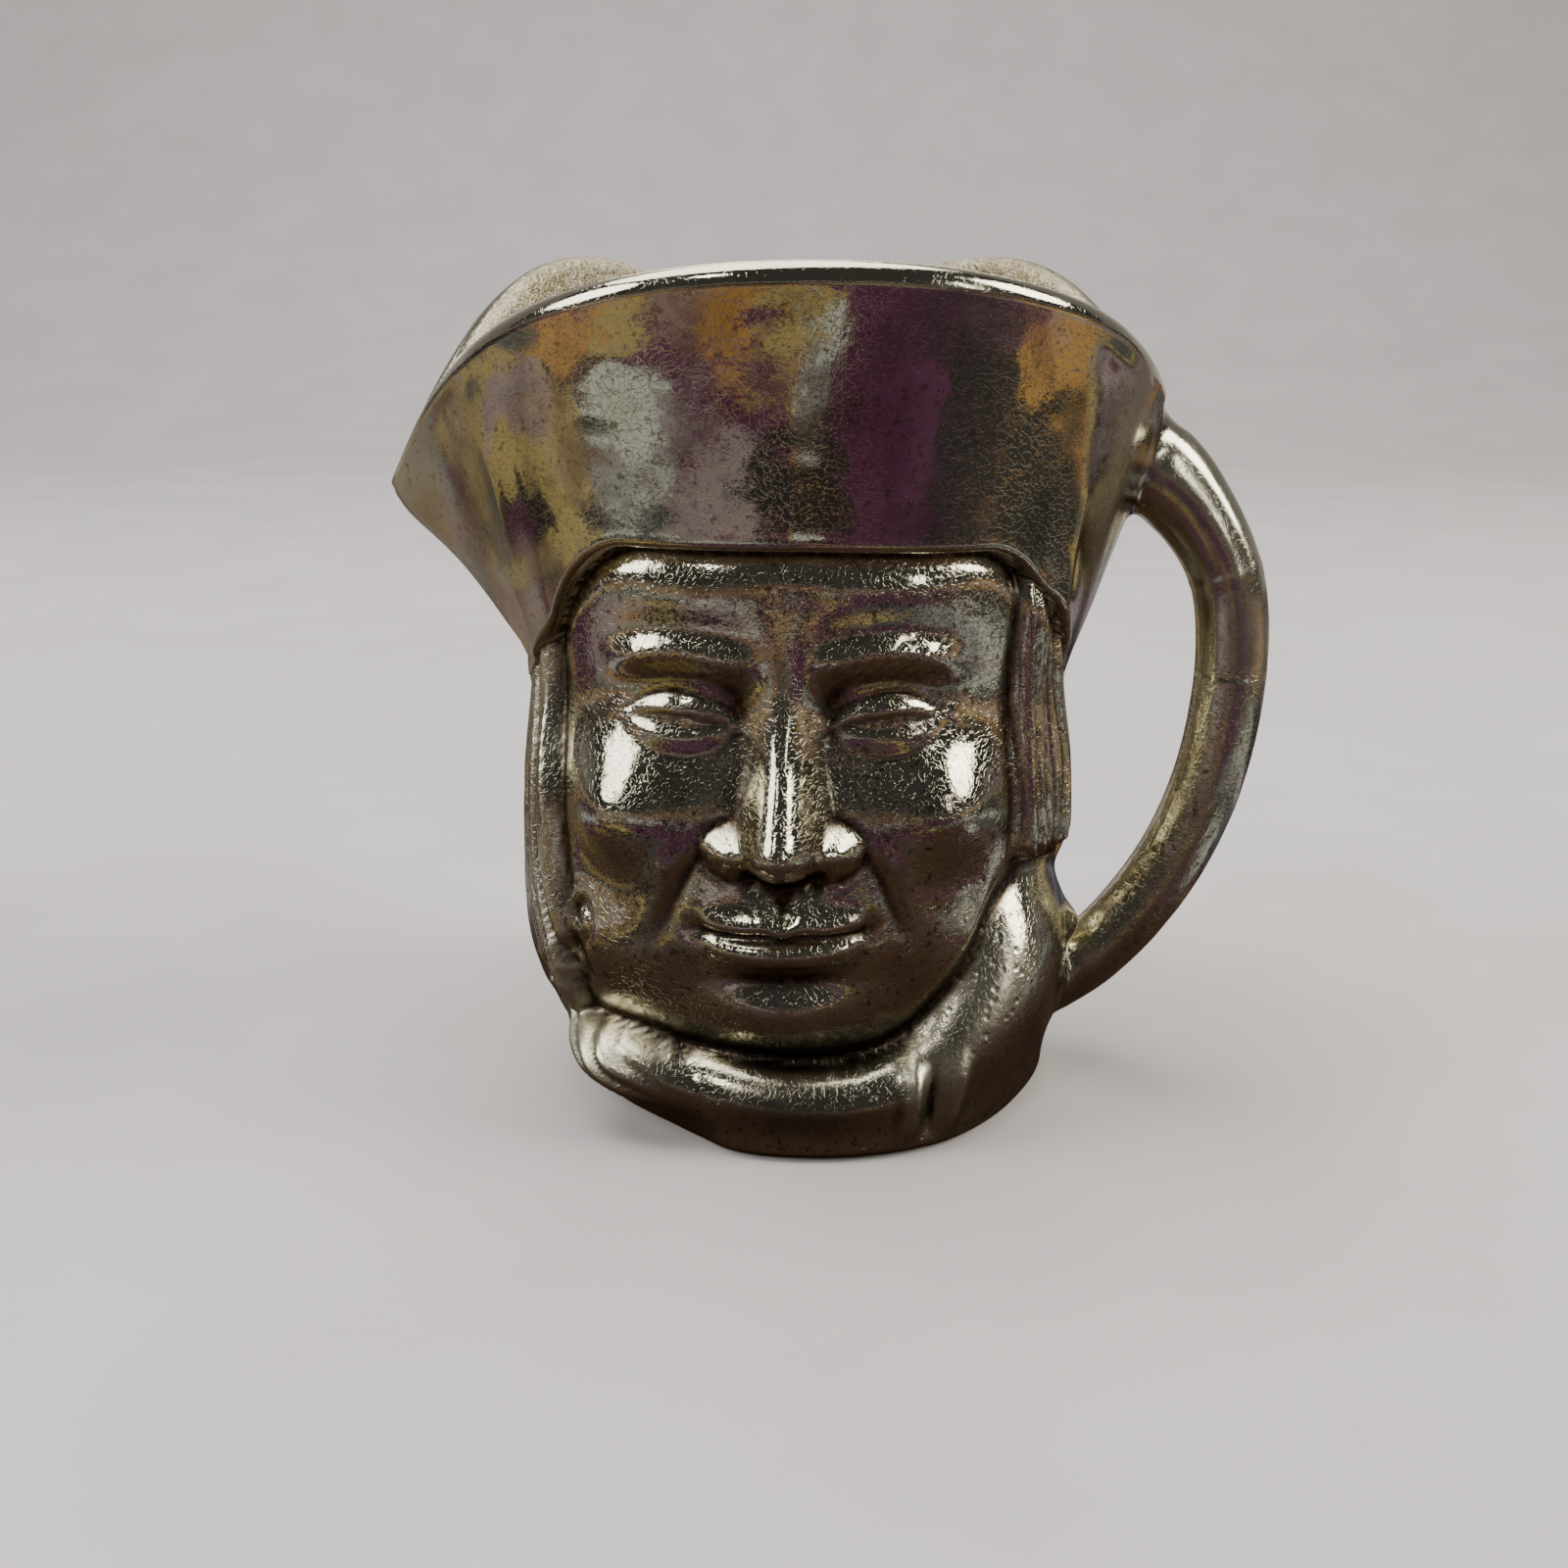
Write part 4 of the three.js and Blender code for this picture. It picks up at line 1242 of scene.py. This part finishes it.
def lay_floor(colour):
    """The floor, which rises behind the jug in one sweep."""
    half_width, front, bend_start, bend_radius, top = 2.5, -2.5, 0.45, 0.35, 1.6
    rise = [(front, 0.0)]
    for turn in np.linspace(0, math.pi / 2, 16):
        out, up = math.sin(turn), 1 - math.cos(turn)
        rise.append((bend_start + bend_radius * out, bend_radius * up))
    rise.append((bend_start + bend_radius, top))
    vertices = [(side, y, z) for y, z in rise for side in (-half_width, half_width)]
    faces = [(2 * i, 2 * i + 1, 2 * i + 3, 2 * i + 2) for i in range(len(rise) - 1)]
    material = sheet_material("studio sheet", faint_mottle(colour))
    floor = sheet("floor", vertices, faces, material)
    floor.data.shade_smooth()


def lay_dark_cloth(dark):
    """The patched cloth round the jug, which shows in reflections alone."""
    shade_of = patchwork((
        dark, (0.1, 0.12, 0.14), (0.05, 0.013, 0.045), (0.007, 0.008, 0.01), (0.22, 0.12, 0.035),
        (0.012, 0.01, 0.01), (0.15, 0.12, 0.15), (0.04, 0.045, 0.055), (0.25, 0.28, 0.3),
        (0.04, 0.01, 0.034), (0.2, 0.16, 0.07), (0.01, 0.01, 0.012),
    ))
    side, back = 0.9, 0.42
    vertices = [(-side, -side, 0), (side, -side, 0), (side, back, 0), (-side, back, 0)]
    cloth = sheet("dark_cloth", vertices, [(0, 1, 2, 3)], sheet_material("dark cloth", shade_of))
    cloth.location.z = 0.1 * MM
    cloth.visible_camera = cloth.visible_diffuse = cloth.visible_shadow = False
    cloth.visible_transmission = cloth.visible_volume_scatter = False


def set_world(brightness):
    """An even grey room, darker in reflections than its light on the floor is."""
    world = bpy.data.worlds.new("studio")
    world.use_nodes = True
    background = world.node_tree.nodes["Background"]
    background.inputs["Color"].default_value = (0.5, 0.5, 0.52, 1)
    mirrored = wire(world.node_tree, "ShaderNodeLightPath").outputs["Is Glossy Ray"]
    bright = 0.6 * brightness
    strength = ramp(world.node_tree, mirrored, 0.0, 1.0, bright, 0.16 * bright)
    world.node_tree.links.new(strength, background.inputs["Strength"])
    bpy.context.scene.world = world


def set_camera():
    lens = bpy.data.cameras.new("camera")
    lens.sensor_width = 36
    lens.lens = 38.95
    lens.clip_start = 0.005
    camera = linked("camera", lens)
    camera.location = (-1.7 * MM, -124.4 * MM, 58.6 * MM)
    camera.rotation_euler = (math.radians(73.6), 0, 0)
    bpy.context.scene.camera = camera


class JUG_OT_stage(bpy.types.Operator):
    """Set a plain pale floor, soft lights and the camera round the jug"""

    bl_idname = "toby_jug.stage"
    bl_label = "Set the Stage"

    def execute(self, context):
        studio = context.scene.toby_jug_studio
        lay_floor(tuple(studio.floor_colour))
        lay_dark_cloth(tuple(studio.cloth_colour))
        set_world(studio.brightness)
        middle = (0, 0, 0.03)
        for name, place, size, power, colour in (
            ("overhead softbox", (-0.1, 0.12, 0.6), (0.75, 0.6), 4.6, (1, 0.98, 0.95)),
            ("left softbox", (-0.65, -0.14, 0.36), (0.45, 0.5), 3.0, (1, 1, 1)),
            ("right softbox", (0.48, -0.08, 0.34), (0.3, 0.4), 2.8, (1, 0.97, 0.9)),
            ("front softbox", (-0.28, -0.45, 0.5), (0.12, 0.12), 0.4, (1, 0.98, 0.94)),
            ("right strip", (0.35, -0.36, 0.17), (0.05, 0.2), 0.16, (1, 0.98, 0.94)),
        ):
            area_light(name, place, middle, size, power * studio.brightness, colour)
        set_camera()
        return {"FINISHED"}


class JUG_PT_panel(bpy.types.Panel):
    """Sizes, finish and studio of the jug"""

    bl_label = "Toby Jug"
    bl_idname = "JUG_PT_panel"
    bl_space_type = "VIEW_3D"
    bl_region_type = "UI"
    bl_category = "Toby Jug"

    def draw(self, context):
        scene = context.scene
        groups = (
            (scene.toby_jug_sizes, JugSizes), (scene.toby_jug_finish, BrassFinish),
            (scene.toby_jug_studio, StudioSettings),
        )
        for settings, group in groups:
            box = self.layout.box()
            for name in group.__annotations__:
                box.prop(settings, name)
        self.layout.operator(JUG_OT_cast.bl_idname)
        self.layout.operator(JUG_OT_stage.bl_idname)


CLASSES = (JugSizes, BrassFinish, StudioSettings, JUG_OT_cast, JUG_OT_stage, JUG_PT_panel)


def register():
    for cls in CLASSES:
        bpy.utils.register_class(cls)
    bpy.types.Scene.toby_jug_sizes = PointerProperty(type=JugSizes)
    bpy.types.Scene.toby_jug_finish = PointerProperty(type=BrassFinish)
    bpy.types.Scene.toby_jug_studio = PointerProperty(type=StudioSettings)


def unregister():
    del bpy.types.Scene.toby_jug_sizes
    del bpy.types.Scene.toby_jug_finish
    del bpy.types.Scene.toby_jug_studio
    for cls in reversed(CLASSES):
        bpy.utils.unregister_class(cls)


def main():
    register()
    bpy.ops.toby_jug.cast()
    bpy.ops.toby_jug.stage()


if __name__ == "__main__":
    main()
